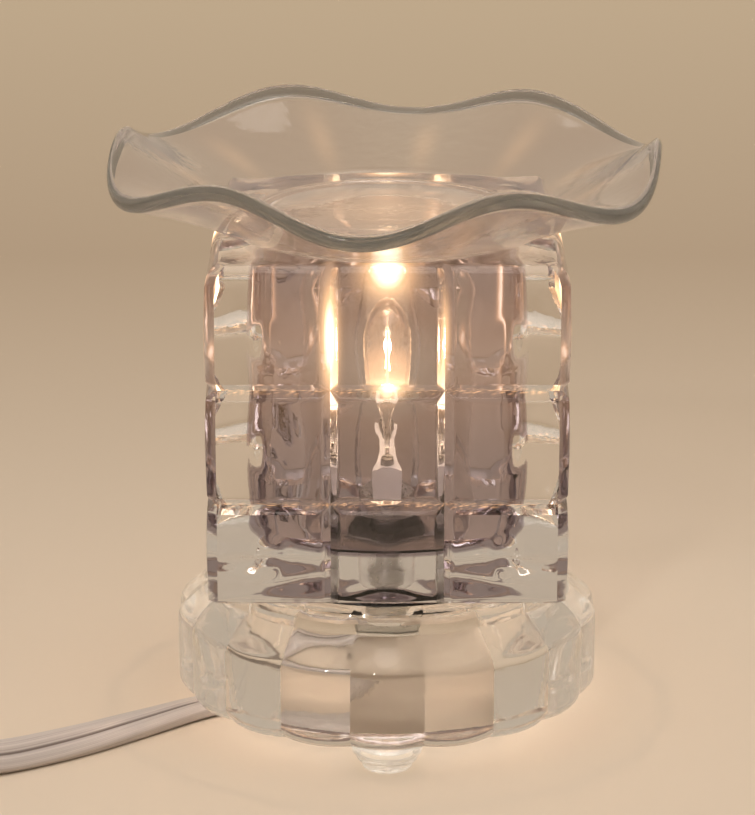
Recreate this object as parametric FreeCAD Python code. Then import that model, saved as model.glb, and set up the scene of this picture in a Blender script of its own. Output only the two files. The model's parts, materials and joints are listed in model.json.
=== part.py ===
import FreeCAD, Part
import math
import os

# Electric glass wax warmer lamp: a ruffled glass dish rests on a pressed glass block with a
# halogen capsule inside, on a scalloped glass base with three clear feet. A flat twin cord
# leaves under the base and runs through a thumbwheel dimmer to a plug.
# Millimetres, +Z up, origin on the table under the lamp's axis, front of the lamp towards -Y.

V = FreeCAD.Vector
UP = V(0, 0, 1)
ORIGIN = V(0, 0, 0)

# Clearances
running_gap = 0.05      # radial, between a shaft or pin and its bore
assembly_gap = 0.1      # radial, between a piece and the hole that it passes through
seat_gap = 0.3          # between loose pieces that can be lifted apart
cord_gap = 0.35         # around the cord where it enters a housing

# Feet
foot_count = 3
foot_height = 5.6
foot_top_radius = 7.3
foot_bottom_radius = 5.2
foot_circle_radius = 36.5

# Glass base
petal_count = 18
base_radius = 44.5
petal_bulge = 0.9
petal_height = 18.0
base_edge_round = 3.6
shoulder_rise = 5.1
shoulder_inset = 7.0
tier_rise = 3.1
tier_bulge = 0.7
tier_inset = 2.0
seat_rise = 3.5
hub_thickness = 7.0
hollow_radius = 27.0
hollow_top_radius = 22.0

# Pressed glass body, three tiles by three on each side
body_width = 72.4
bottom_row_height = 20.5
middle_row_height = 23.9
top_row_height = 21.5
crown_rise = 4.3
crown_inset = 2.5
corner_bevel = 1.9
middle_tile_width = 22.9
groove_depth = 1.6
cavity_radius = 28.0
floor_thickness = 8.5

# Ruffled dish
ruffle_count = 6
points_per_ruffle = 12
ruffle_turn = -5.6      # degrees from the front to the nearest low point of the rim
dish_foot_radius = 33.0
dish_wall = 3.0
rim_radius = 56.2
rim_radius_swing = 1.4
rim_rise = 11.8
rim_rise_swing = 3.3
rim_bead = 1.4
boss_depth = 2.2
boss_width = 3.0
boss_gap = 1.0

# Lamp pipe and what it clamps
pipe_diameter = 10.0
pipe_bore = 7.6
pipe_tail = 4.0         # below the lower nut
pipe_proud = 0.3        # above the upper nut
nut_across_flats = 14.0
floor_nut_height = 3.0
base_nut_height = 4.0
gasket_thickness = 1.0
gasket_radius = 11.0
washer_thickness = 1.3
washer_radius = 12.5
bushing_wall = 1.5
bushing_grip = 3.0

# Lamp holder
plate_width = 13.0
plate_end = 3.8         # beyond each holder screw
plate_thickness = 1.2
socket_width = 7.0
socket_end = 2.8        # beyond each holder screw
socket_height = 6.0
socket_clearance = 1.1  # above the upper nut
holder_screw_spacing = 20.4
holder_screw_diameter = 2.5
screw_head_radius = 2.3
screw_head_height = 1.4
spacer_radius = 2.5
contact_radius = 1.3
contact_length = 4.5
wire_radius = 1.2
wire_spacing = 4.6

# Halogen capsule
pin_spacing = 6.35
pin_diameter = 1.25
pin_length = 5.4
pinch_thickness = 2.4
pinch_width = 10.6
pinch_length = 9.5
capsule_radius = 6.3
capsule_length = 20.5
capsule_wall = 1.1
capsule_neck_radius = 5.4
filament_radius = 0.8
filament_length = 7.0
lead_radius = 0.35
short_lead_offset = 2.2
long_lead_offset = 3.4
filament_drop = 1.2     # from the middle of the dome down to the middle of the filament
dome_steps = 8

# Cord
cord_width = 7.0
cord_thickness = 3.4
cord_grip = 6.0         # length of cord held inside the plug's tail
pipe_grip = 2.0         # length of cord held inside the lower end of the pipe
dimmer_grip = 2.0       # length of cord inside the dimmer's end wall
bend_share = 0.45       # of the shorter run beside a bend, taken up by the bend
tie_width = 6.0
tie_thickness = 0.9

# Dimmer on the cord
dimmer_x = -138.0
dimmer_y = -49.0
dimmer_length = 48.0
dimmer_width = 24.0
dimmer_height = 16.0
dimmer_split = 7.5
dimmer_wall = 1.8
dimmer_corner = 6.0
snout_length = 6.0
snout_wall = 1.6
wheel_radius = 8.0
wheel_width = 6.0
wheel_proud = 2.4
wheel_notches = 24
notch_radius = 0.6
shaft_radius = 2.0
bearing_width = 2.2
bearing_radius = 3.4
board_length = 30.0
board_width = 19.0
board_thickness = 1.6
board_rise = 1.4
rail_width = 2.4
pot_width = 10.0
pot_depth = 4.4
pot_height = 9.2
pot_gap = 0.6
triac_length = 4.0
triac_height = 6.5
terminal_length = 4.6
terminal_width = 8.0
terminal_height = 5.0
case_screw_radius = 1.25
case_boss_radius = 2.6
case_screw_length = 9.0

# Coil of put-away cord
coil_x = -175.0
coil_y = 24.0
coil_radius = 39.0      # to the middle of its turns
turn_pitch = 7.4
row_pitch = 3.7

# Plug
tail_reach = 28.0       # along the cord, from the coil to the plug's tail
plug_length = 24.0
plug_width = 24.0
plug_height = 15.0
plug_edge = 3.0
plug_tail_length = 12.0
plug_tail_radius = 5.4
blade_spacing = 12.7
blade_thickness = 1.5
blade_height = 6.4
blade_length = 16.0
blade_root = 6.0
blade_hole_radius = 1.6

# Heights up the lamp
petal_top = foot_height + petal_height
shoulder_top = petal_top + shoulder_rise
tier_top = shoulder_top + tier_rise
seat_height = tier_top + seat_rise
low_groove = seat_height + bottom_row_height
high_groove = low_groove + middle_row_height
crown_foot = high_groove + top_row_height
body_top = crown_foot + crown_rise
floor_top = seat_height + floor_thickness
plate_bottom = floor_top + gasket_thickness + washer_thickness
plate_top = plate_bottom + plate_thickness
nut_top = plate_top + floor_nut_height
pipe_top = nut_top + pipe_proud
socket_bottom = nut_top + socket_clearance
socket_top = socket_bottom + socket_height
bulb_bottom = socket_top + assembly_gap
capsule_bottom = bulb_bottom + pinch_length
capsule_top = capsule_bottom + capsule_length
filament_bottom = capsule_top - capsule_radius - filament_drop - filament_length / 2
filament_top = filament_bottom + filament_length
hub_bottom = seat_height - hub_thickness
base_nut_top = hub_bottom - gasket_thickness - washer_thickness
base_nut_bottom = base_nut_top - base_nut_height
pipe_bottom = base_nut_bottom - pipe_tail
bushing_bottom = pipe_bottom - bushing_wall
cord_rest = cord_thickness / 2

# Widths shared between pieces
pipe_radius = pipe_diameter / 2
pipe_hole = pipe_radius + assembly_gap
tier_radius = base_radius - shoulder_inset
seat_radius = tier_radius - tier_inset
body_half = body_width / 2
holder_screw_y = holder_screw_spacing / 2
plate_length = holder_screw_spacing + 2 * plate_end
socket_length = holder_screw_spacing + 2 * socket_end
holder_screw_radius = holder_screw_diameter / 2
cord_hole_width = cord_width + 2 * cord_gap
cord_hole_height = cord_thickness + 2 * cord_gap
outer_turn = coil_radius + turn_pitch / 2
inner_turn = coil_radius - turn_pitch / 2
coil_floor = tie_thickness + assembly_gap
top_row = coil_floor + 2 * row_pitch + row_pitch / 2
wheel_height = dimmer_height + wheel_proud - wheel_radius
board_top = dimmer_wall + board_rise + board_thickness
dimmer_end = dimmer_length / 2 + snout_length
cord_end = dimmer_length / 2 - dimmer_wall - dimmer_grip
case_screw_x = (board_length + dimmer_length) / 4 - dimmer_wall / 4
plug_tail_start = coil_x + tail_reach
plug_rear = plug_tail_start + plug_tail_length
plug_y = coil_y + outer_turn
plug_axis = plug_height / 2

# Routes of the free cord, in the middle of its section
lead_route = [
    V(0, 0, pipe_bottom + pipe_grip),
    V(0, 0, 9.6),
    V(-7.6, 0, cord_rest),
    V(-22.5, -0.6, cord_rest),
    V(-38, -6.5, cord_rest),
    V(-52, -19.5, cord_rest),
    V(-66, -32, cord_rest),
    V(-82.5, -42, cord_rest),
    V(-99.5, dimmer_y, dimmer_split),
    V(dimmer_x + cord_end, dimmer_y, dimmer_split),
]
link_route = [
    V(dimmer_x - cord_end, dimmer_y, dimmer_split),
    V(-176.5, dimmer_y, dimmer_split),
    V(-193.5, -43.4, 2.6),
    V(-207.2, -31.8, cord_rest),
    V(-215.2, -14.8, cord_rest),
    V(coil_x - outer_turn, 4, coil_floor + row_pitch / 2),
    V(coil_x - outer_turn, coil_y, coil_floor + row_pitch / 2),
]
tail_route = [
    V(coil_x, plug_y, top_row),
    V(coil_x + 11, plug_y, top_row),
    V(coil_x + 23, plug_y, plug_axis),
    V(plug_tail_start + cord_grip, plug_y, plug_axis),
]


def cylinder(radius, height, base, axis=UP):
    return Part.makeCylinder(radius, height, base, axis)


def tube(outer, inner, height, base, axis=UP):
    return cylinder(outer, height, base, axis).cut(cylinder(inner, height, base, axis))


def block(length, width, height, centre):
    """A box with its middle at centre in plan, standing on centre's height."""
    corner = V(centre.x - length / 2, centre.y - width / 2, centre.z)
    return Part.makeBox(length, width, height, corner)


def hexagon(across_flats, height, base):
    """A hexagonal prism with two flats facing front and back."""
    reach = across_flats / math.sqrt(3)
    points = []
    for k in range(7):
        angle = math.radians(60 * k)
        points.append(V(reach * math.cos(angle), reach * math.sin(angle), 0) + base)
    return Part.Face(Part.makePolygon(points)).extrude(V(0, 0, height))


def revolved(points):
    """A solid turned about the lamp's axis from (radius, height) points."""
    outline = [V(r, 0, z) for r, z in points]
    face = Part.Face(Part.makePolygon(outline + outline[:1]))
    return face.revolve(ORIGIN, UP, 360)


def around(radius, degrees, height):
    """A point at an angle from the front, counted towards +X."""
    angle = math.radians(degrees)
    return V(radius * math.sin(angle), -radius * math.cos(angle), height)


def scalloped(radius, bulge, bottom, top):
    """A prism with petal_count rounded petals, one in the middle of the front."""
    step = 360 / petal_count
    edges = []
    for k in range(petal_count):
        start = around(radius - bulge, (k - 0.5) * step, bottom)
        middle = around(radius, k * step, bottom)
        end = around(radius - bulge, (k + 0.5) * step, bottom)
        edges.append(Part.Arc(start, middle, end).toShape())
    return Part.Face(Part.Wire(edges)).extrude(V(0, 0, top - bottom))


def scalloped_base():
    margin = petal_bulge
    slope = shoulder_rise / shoulder_inset
    rounding = base_edge_round * (1 - math.sqrt(0.5))
    turned = revolved([
        (0, foot_height),
        (base_radius - base_edge_round, foot_height),
        (base_radius - rounding, foot_height + rounding),
        (base_radius, foot_height + base_edge_round),
        (base_radius + margin, foot_height + 2 * base_edge_round),
        (base_radius + margin, petal_top - margin * slope),
        (tier_radius, shoulder_top),
        (0, shoulder_top),
    ])
    petals = scalloped(base_radius, petal_bulge, foot_height, shoulder_top).common(turned)
    tier = scalloped(tier_radius, tier_bulge, petal_top, tier_top)
    seat = cylinder(seat_radius, seat_height - petal_top, V(0, 0, petal_top))
    glass = petals.fuse([tier, seat])
    hollow_height = hub_bottom - foot_height
    hollow = Part.makeCone(hollow_radius, hollow_top_radius, hollow_height, V(0, 0, foot_height))
    hole = cylinder(pipe_hole, seat_height, ORIGIN)
    return glass.cut([hollow, hole]).removeSplitter()


def foot_bumpers():
    feet = []
    for k in range(foot_count):
        place = around(foot_circle_radius, 360 * k / foot_count, 0)
        feet.append(Part.makeCone(foot_bottom_radius, foot_top_radius, foot_height, place))
    return Part.Compound(feet)


def bevelled_square(half, height):
    """A square outline with its corners cut off at 45 degrees."""
    near = half - corner_bevel
    corners = [(half, near), (near, half), (-near, half), (-half, near),
               (-half, -near), (-near, -half), (near, -half), (half, -near)]
    points = [V(x, y, height) for x, y in corners]
    return Part.makePolygon(points + points[:1])


def groove_bar(length, centre, along):
    """A square bar on edge, which cuts a V groove of groove_depth."""
    d = groove_depth
    points = [V(x, y, -length / 2) for x, y in ((d, 0), (0, d), (-d, 0), (0, -d))]
    bar = Part.Face(Part.makePolygon(points + points[:1])).extrude(V(0, 0, length))
    bar.Placement = FreeCAD.Placement(centre, FreeCAD.Rotation(UP, along))
    return bar


def tile_body():
    outline = Part.Face(bevelled_square(body_half, seat_height))
    walls = outline.extrude(V(0, 0, crown_foot - seat_height))
    crown_top = bevelled_square(body_half - crown_inset, body_top)
    crown = Part.makeLoft([bevelled_square(body_half, crown_foot), crown_top], True, True)
    glass = walls.fuse(crown)
    bars = []
    middle = (seat_height + body_top) / 2
    for side in range(4):
        cuts = []
        for z in (low_groove, high_groove):
            cuts.append(groove_bar(body_width, V(0, -body_half, z), V(1, 0, 0)))
        for x in (-middle_tile_width / 2, middle_tile_width / 2):
            cuts.append(groove_bar(body_top, V(x, -body_half, middle), UP))
        for bar in cuts:
            bar.rotate(ORIGIN, UP, 90 * side)
        bars += cuts
    cavity = cylinder(cavity_radius, body_top - floor_top, V(0, 0, floor_top))
    hole = cylinder(pipe_hole, floor_thickness, V(0, 0, seat_height))
    return glass.cut(bars + [cavity, hole])


def rim_wave(share, out, lift):
    """A closed wavy line round the dish, at a share of the way from its foot to its rim."""
    points = []
    count = points_per_ruffle * ruffle_count
    for k in range(count):
        degrees = 360 * k / count
        wave = math.cos(math.radians(ruffle_count * (degrees - ruffle_turn))) * share * share
        radius = dish_foot_radius + (rim_radius - dish_foot_radius) * share + rim_radius_swing * wave
        height = body_top + rim_rise * share - rim_rise_swing * wave
        points.append(around(radius + out, degrees, height + lift))
    curve = Part.BSplineCurve()
    curve.interpolate(Points=points, PeriodicFlag=True)
    return Part.Wire(curve.toShape())


def ruffled_dish():
    slope = math.atan2(rim_rise, rim_radius - dish_foot_radius)
    upright = dish_wall / math.cos(slope)
    shares = (0, 0.25, 0.5, 0.75, 1)
    under = [rim_wave(share, 0, 0) for share in shares]
    inside = [rim_wave(share, 0, upright) for share in shares]
    bead = rim_wave(1, rim_bead, upright / 2)
    skins = [Part.makeLoft(under, False), Part.makeLoft(inside, False)]
    skins.append(Part.makeLoft([under[-1], bead, inside[-1]], False))
    faces = [face for skin in skins for face in skin.Faces]
    faces += [Part.Face(under[0]), Part.Face(inside[0])]
    shell = Part.makeShell(faces)
    shell.sewShape()
    glass = Part.makeSolid(shell)
    boss_radius = cavity_radius - boss_gap
    boss_height = boss_depth + upright / 2
    boss = tube(boss_radius, boss_radius - boss_width, boss_height, V(0, 0, body_top - boss_depth))
    return glass.fuse(boss)


def lamp_pipe():
    return tube(pipe_radius, pipe_bore / 2, pipe_top - pipe_bottom, V(0, 0, pipe_bottom))


def pipe_ring(radius, height, bottom):
    return tube(radius, pipe_hole, height, V(0, 0, bottom))


def pipe_nut(height, bottom):
    base = V(0, 0, bottom)
    return hexagon(nut_across_flats, height, base).cut(cylinder(pipe_hole, height, base))


def pipe_bushing():
    radius = pipe_hole + bushing_wall
    cap = cylinder(radius, bushing_wall + bushing_grip, V(0, 0, bushing_bottom))
    grip = cylinder(pipe_hole, bushing_grip, V(0, 0, pipe_bottom))
    mouth = cylinder(pipe_bore / 2, bushing_wall, V(0, 0, bushing_bottom))
    return cap.cut([grip, mouth])


def at_screws(make):
    """One solid at each of the two holder screws."""
    return [make(V(0, side * holder_screw_y, 0)) for side in (-1, 1)]


def socket_plate():
    plate = block(plate_width, plate_length, plate_thickness, V(0, 0, plate_bottom))
    holes = at_screws(lambda p: cylinder(holder_screw_radius + assembly_gap, plate_top, p))
    return plate.cut(holes + [cylinder(pipe_hole, plate_top, ORIGIN)])


def socket_spacers():
    bore = holder_screw_radius + assembly_gap
    height = socket_bottom - plate_top
    return Part.Compound(at_screws(lambda p: tube(spacer_radius, bore, height, p + V(0, 0, plate_top))))


def ceramic_socket():
    body = block(socket_width, socket_length, socket_height, V(0, 0, socket_bottom))
    cuts = at_screws(lambda p: cylinder(holder_screw_radius + assembly_gap, socket_top, p))
    for side in (-1, 1):
        y = side * pin_spacing / 2
        cuts.append(cylinder(pin_diameter / 2 + seat_gap, socket_top, V(0, y, 0)))
        cuts.append(cylinder(contact_radius + running_gap, contact_length, V(0, y, socket_bottom)))
    return body.cut(cuts)


def socket_contacts():
    sleeves = []
    for side in (-1, 1):
        base = V(0, side * pin_spacing / 2, socket_bottom)
        sleeves.append(tube(contact_radius, pin_diameter / 2 + running_gap, contact_length, base))
    return Part.Compound(sleeves)


def holder_screws():
    def screw(place):
        shank = cylinder(holder_screw_radius, socket_top - plate_bottom, place + V(0, 0, plate_bottom))
        head = cylinder(screw_head_radius, screw_head_height, place + V(0, 0, socket_top))
        slot = block(2 * screw_head_radius, screw_head_height / 2, screw_head_height / 2,
                     place + V(0, 0, socket_top + screw_head_height / 2))
        return shank.fuse(head).cut(slot)
    return Part.Compound(at_screws(screw))


def lead_wires():
    bottom = pipe_bottom + pipe_grip
    wires = []
    for side in (-1, 1):
        foot = V(0, side * wire_spacing / 2, bottom)
        wires.append(cylinder(wire_radius, socket_bottom - bottom, foot))
    return Part.Compound(wires)


def capsule_outline(inset):
    """(radius, height) outline of the round part of the bulb, inset from its outside."""
    radius = capsule_radius - inset
    bottom = capsule_bottom + inset
    dome = capsule_top - capsule_radius
    neck_rise = capsule_radius - capsule_neck_radius
    points = [(0, bottom), (capsule_neck_radius - inset, bottom), (radius, bottom + 2 * neck_rise)]
    for k in range(dome_steps):
        angle = math.radians(90 * k / dome_steps)
        points.append((radius * math.cos(angle), dome + radius * math.sin(angle)))
    return points + [(0, dome + radius)]


def bulb_capsule():
    pinch_height = pinch_length + capsule_wall / 2
    pinch = block(pinch_thickness, pinch_width, pinch_height, V(0, 0, bulb_bottom))
    glass = revolved(capsule_outline(0)).fuse(pinch)
    return glass.cut(revolved(capsule_outline(capsule_wall)))


def bulb_filament():
    return cylinder(filament_radius, filament_length, V(0, 0, filament_bottom))


def bulb_leads():
    bottom = capsule_bottom + capsule_wall
    short_lead = (short_lead_offset, filament_bottom - lead_radius)
    long_lead = (-long_lead_offset, filament_top + lead_radius)
    leads = []
    for y, top in (short_lead, long_lead):
        upright = cylinder(lead_radius, top - bottom, V(0, y, bottom))
        knee = Part.makeSphere(lead_radius, V(0, y, top))
        arm = cylinder(lead_radius, abs(y), V(0, y, top), V(0, -y, 0))
        leads.append(upright.fuse([knee, arm]))
    return Part.Compound(leads)


def bulb_pins():
    pins = []
    for side in (-1, 1):
        tip = V(0, side * pin_spacing / 2, bulb_bottom - pin_length)
        pins.append(cylinder(pin_diameter / 2, pin_length, tip))
    return Part.Compound(pins)


def arc_radius(before, corner, after):
    """The radius of the bend at a corner of a route, and half its turn."""
    first = corner - before
    second = after - corner
    half_turn = first.getAngle(second) / 2
    return bend_share * min(first.Length, second.Length) / math.tan(half_turn), half_turn


def flat_section(centre, travel, across):
    """The cord's cross-section: a slot shape with its width along across."""
    thin = travel.cross(across)
    half = cord_thickness / 2
    reach = cord_width / 2 - half
    corners = [centre + across * a + thin * b for a, b in
               ((-reach, -half), (reach, -half), (reach, half), (-reach, half))]
    edges = [
        Part.LineSegment(corners[0], corners[1]).toShape(),
        Part.Arc(corners[1], centre + across * (reach + half), corners[2]).toShape(),
        Part.LineSegment(corners[2], corners[3]).toShape(),
        Part.Arc(corners[3], centre - across * (reach + half), corners[0]).toShape(),
    ]
    return Part.Face(Part.Wire(edges))


def flat_cord(name, route, across):
    """A flat cord along a route of straight runs joined by tangent arcs."""
    pieces = []
    length = 0
    radii = []
    start = route[0]
    for k in range(1, len(route)):
        travel = (route[k] - route[k - 1]).normalize()
        side = (across - travel * across.dot(travel)).normalize()
        end = route[k]
        if k + 1 < len(route):
            radius, half_turn = arc_radius(route[k - 1], route[k], route[k + 1])
            radii.append(round(radius, 1))
            end = route[k] - travel * (radius * math.tan(half_turn))
        pieces.append(flat_section(start, travel, side).extrude(end - start))
        length += (end - start).Length
        across = side
        if k + 1 < len(route):
            onward = (route[k + 1] - route[k]).normalize()
            axis = travel.cross(onward).normalize()
            middle = end + axis.cross(travel) * radius
            turn = math.degrees(2 * half_turn)
            pieces.append(flat_section(end, travel, side).revolve(middle, axis, turn))
            length += radius * 2 * half_turn
            across = FreeCAD.Rotation(axis, turn).multVec(side)
            start = route[k] + onward * (radius * math.tan(half_turn))
    cord = pieces[0].fuse(pieces[1:])
    area = flat_section(route[0], UP, V(1, 0, 0)).Area
    print(name, "bend radii", radii, "length", round(length, 1))
    print(name, "volume over section times length", round(cord.Volume / area / length, 4))
    return cord


def cord_coil():
    """The outer shape of the coil: two rows of two turns, and a third row on the outer turn."""
    half = cord_width / 2
    low = coil_floor
    shelf = coil_floor + 2 * row_pitch
    top = coil_floor + 3 * row_pitch
    step = coil_radius + turn_pitch / 2 - half
    ring = revolved([
        (inner_turn - half, low), (outer_turn + half, low), (outer_turn + half, top),
        (step, top), (step, shelf), (inner_turn - half, shelf),
    ])
    ring.translate(V(coil_x, coil_y, 0))
    return ring


def coil_tie():
    """A strap round the turns at the side of the coil that faces the lamp."""
    half = cord_width / 2
    inner = math.sqrt((inner_turn - half) ** 2 - (tie_width / 2) ** 2) - assembly_gap
    outer = outer_turn + half + assembly_gap
    height = 3 * row_pitch + 2 * assembly_gap
    middle = V(coil_x + (inner + outer) / 2, coil_y, 0)
    strap = block(outer - inner + 2 * tie_thickness, tie_width, height + 2 * tie_thickness, middle)
    return strap.cut(block(outer - inner, tie_width, height, middle + V(0, 0, tie_thickness)))


def rounded_block(length, width, height, corner, centre):
    """A box with rounded upright edges."""
    made = block(length, width, height, centre)
    upright = [edge for edge in made.Edges if abs(edge.tangentAt(edge.FirstParameter).z) > 0.9]
    return made.makeFillet(corner, upright)


def dimmer_spot(x, y, z):
    return V(dimmer_x + x, dimmer_y + y, z)


def case_screw_places():
    y = dimmer_width / 2 - dimmer_wall - case_boss_radius
    return [dimmer_spot(side * case_screw_x, side * y, 0) for side in (-1, 1)]


def dimmer_half(bottom, top):
    """The housing's walls and cord snouts between two heights, hollow inside."""
    middle = dimmer_spot(0, 0, 0)
    hull = rounded_block(dimmer_length, dimmer_width, dimmer_height, dimmer_corner, middle)
    inside = rounded_block(dimmer_length - 2 * dimmer_wall, dimmer_width - 2 * dimmer_wall,
                           dimmer_height - 2 * dimmer_wall, dimmer_corner - dimmer_wall,
                           dimmer_spot(0, 0, dimmer_wall))
    snout_width = cord_hole_width + 2 * snout_wall
    snout_height = cord_hole_height + 2 * snout_wall
    snout_bottom = dimmer_split - snout_height / 2
    snout = block(2 * dimmer_end, snout_width, snout_height, dimmer_spot(0, 0, snout_bottom))
    way = block(2 * dimmer_end, cord_hole_width, cord_hole_height,
                dimmer_spot(0, 0, dimmer_split - cord_hole_height / 2))
    keep = block(2 * dimmer_end, dimmer_width, top - bottom, dimmer_spot(0, 0, bottom))
    return hull.fuse(snout).cut([inside, way]).common(keep)


def dimmer_base():
    shell = dimmer_half(0, dimmer_split)
    adds = []
    cuts = []
    for place in case_screw_places():
        adds.append(cylinder(case_boss_radius, dimmer_split, place))
        cuts.append(cylinder(case_screw_radius + assembly_gap, dimmer_split, place))
        cuts.append(cylinder(screw_head_radius + assembly_gap, screw_head_height, place))
    bearing_y = -wheel_width / 2 - pot_gap - bearing_width
    bearing_spot = dimmer_spot(0, bearing_y + bearing_width / 2, 0)
    adds.append(block(2 * bearing_radius, bearing_width, wheel_height + bearing_radius, bearing_spot))
    bore = dimmer_spot(0, bearing_y, wheel_height)
    cuts.append(cylinder(shaft_radius + running_gap, bearing_width, bore, V(0, 1, 0)))
    for side in (-1, 1):
        rail = dimmer_spot(side * (board_length - rail_width) / 2, 0, 0)
        adds.append(block(rail_width, board_width, dimmer_wall + board_rise, rail))
    return shell.fuse(adds).cut(cuts)


def dimmer_cover():
    shell = dimmer_half(dimmer_split, dimmer_height)
    adds = []
    cuts = []
    for place in case_screw_places():
        start = place + V(0, 0, dimmer_split)
        adds.append(cylinder(case_boss_radius, dimmer_height - dimmer_split, start))
        depth = screw_head_height + case_screw_length - dimmer_split
        cuts.append(cylinder(case_screw_radius + assembly_gap, depth, start))
    window = block(2 * (wheel_radius + seat_gap), wheel_width + 2 * seat_gap, dimmer_wall,
                   dimmer_spot(0, 0, dimmer_height - dimmer_wall))
    return shell.fuse(adds).cut(cuts + [window])


def dimmer_wheel():
    across = V(0, 1, 0)
    start = dimmer_spot(0, -wheel_width / 2, wheel_height)
    wheel = cylinder(wheel_radius, wheel_width, start, across)
    notches = []
    for k in range(wheel_notches):
        angle = 2 * math.pi * k / wheel_notches
        spot = V(wheel_radius * math.cos(angle), 0, wheel_radius * math.sin(angle))
        notches.append(cylinder(notch_radius, wheel_width, start + spot, across))
    stub = pot_gap + bearing_width
    axle = cylinder(shaft_radius, stub + wheel_width + pot_gap + pot_depth, start - across * stub, across)
    return wheel.cut(notches).fuse(axle)


def dimmer_potentiometer():
    start = wheel_width / 2 + pot_gap
    case = block(pot_width, pot_depth, pot_height, dimmer_spot(0, start + pot_depth / 2, board_top))
    bore = cylinder(shaft_radius + running_gap, pot_depth, dimmer_spot(0, start, wheel_height), V(0, 1, 0))
    return case.cut(bore)


def dimmer_board():
    bottom = dimmer_spot(0, 0, board_top - board_thickness)
    board = block(board_length, board_width, board_thickness, bottom)
    low = -wheel_width / 2 - pot_gap - bearing_width - seat_gap
    high = wheel_width / 2 + seat_gap
    slot_length = 2 * (wheel_radius + seat_gap)
    slot = block(slot_length, high - low, board_top, dimmer_spot(0, (low + high) / 2, 0))
    return board.cut(slot)


def dimmer_terminals():
    x = (board_length - terminal_length) / 2
    spots = [dimmer_spot(side * x, 0, board_top) for side in (-1, 1)]
    made = [block(terminal_length, terminal_width, terminal_height, spot) for spot in spots]
    return Part.Compound(made)


def dimmer_triac():
    x = pot_width / 2 + seat_gap + triac_length / 2
    y = wheel_width / 2 + pot_gap + pot_depth / 2
    return block(triac_length, pot_depth, triac_height, dimmer_spot(x, y, board_top))


def dimmer_wires():
    """The cord's bared conductors, from each cord end to its terminal."""
    start = board_length / 2
    wires = []
    for end in (-1, 1):
        for side in (-1, 1):
            base = dimmer_spot(end * start, side * cord_width / 4, dimmer_split)
            wires.append(cylinder(wire_radius, cord_end - start, base, V(end, 0, 0)))
    return Part.Compound(wires)


def dimmer_screws():
    screws = []
    for place in case_screw_places():
        head = cylinder(screw_head_radius, screw_head_height, place)
        shank = cylinder(case_screw_radius, case_screw_length, place + V(0, 0, screw_head_height))
        screws.append(head.fuse(shank))
    return Part.Compound(screws)


def plug_body():
    along = V(1, 0, 0)
    body = block(plug_length, plug_width, plug_height, V(plug_rear + plug_length / 2, plug_y, 0))
    body = body.makeFillet(plug_edge, body.Edges)
    tail_start = V(plug_tail_start, plug_y, plug_axis)
    tail = cylinder(plug_tail_radius, plug_tail_length + plug_edge, tail_start, along)
    way_middle = tail_start + along * (cord_grip / 2) - V(0, 0, cord_hole_height / 2)
    way = block(cord_grip, cord_hole_width, cord_hole_height, way_middle)
    return body.fuse(tail).cut([way, blades(assembly_gap)])


def blades(grow):
    """The plug's two contact blades, grown on each side for the slots that hold them."""
    start = plug_rear + plug_length - blade_root
    length = blade_root + blade_length
    hole_x = start + length - 2 * blade_hole_radius
    made = []
    for side in (-1, 1):
        y = plug_y + side * blade_spacing / 2
        root = V(start + length / 2, y, plug_axis - blade_height / 2 - grow)
        blade = block(length, blade_thickness + 2 * grow, blade_height + 2 * grow, root)
        side_face = V(hole_x, y - blade_thickness / 2, plug_axis)
        hole = cylinder(blade_hole_radius, blade_thickness, side_face, V(0, 1, 0))
        made.append(blade if grow else blade.cut(hole))
    return Part.Compound(made)


nodes = {
    "ruffled_dish": ruffled_dish(),
    "tile_body": tile_body(),
    "scalloped_base": scalloped_base(),
    "foot_bumpers": foot_bumpers(),
    "lamp_pipe": lamp_pipe(),
    "floor_gasket": pipe_ring(gasket_radius, gasket_thickness, floor_top),
    "floor_washer": pipe_ring(washer_radius, washer_thickness, floor_top + gasket_thickness),
    "floor_nut": pipe_nut(floor_nut_height, plate_top),
    "base_gasket": pipe_ring(gasket_radius, gasket_thickness, hub_bottom - gasket_thickness),
    "base_washer": pipe_ring(washer_radius, washer_thickness, base_nut_top),
    "base_nut": pipe_nut(base_nut_height, base_nut_bottom),
    "pipe_bushing": pipe_bushing(),
    "socket_plate": socket_plate(),
    "socket_spacers": socket_spacers(),
    "ceramic_socket": ceramic_socket(),
    "socket_contacts": socket_contacts(),
    "holder_screws": holder_screws(),
    "lead_wires": lead_wires(),
    "bulb_capsule": bulb_capsule(),
    "bulb_filament": bulb_filament(),
    "bulb_leads": bulb_leads(),
    "bulb_pins": bulb_pins(),
    "cord_lead": flat_cord("cord_lead", lead_route, V(0, 1, 0)),
    "cord_link": flat_cord("cord_link", link_route, V(0, 1, 0)),
    "cord_coil": cord_coil(),
    "cord_tail": flat_cord("cord_tail", tail_route, V(0, 1, 0)),
    "coil_tie": coil_tie(),
    "dimmer_base": dimmer_base(),
    "dimmer_cover": dimmer_cover(),
    "dimmer_wheel": dimmer_wheel(),
    "dimmer_potentiometer": dimmer_potentiometer(),
    "dimmer_board": dimmer_board(),
    "dimmer_terminals": dimmer_terminals(),
    "dimmer_triac": dimmer_triac(),
    "dimmer_wires": dimmer_wires(),
    "dimmer_screws": dimmer_screws(),
    "plug_body": plug_body(),
    "plug_blades": blades(0),
}

os.makedirs("parts", exist_ok=True)
for name, shape in nodes.items():
    shape.exportStep("parts/" + name + ".step")
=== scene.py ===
import json
import math

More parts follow.
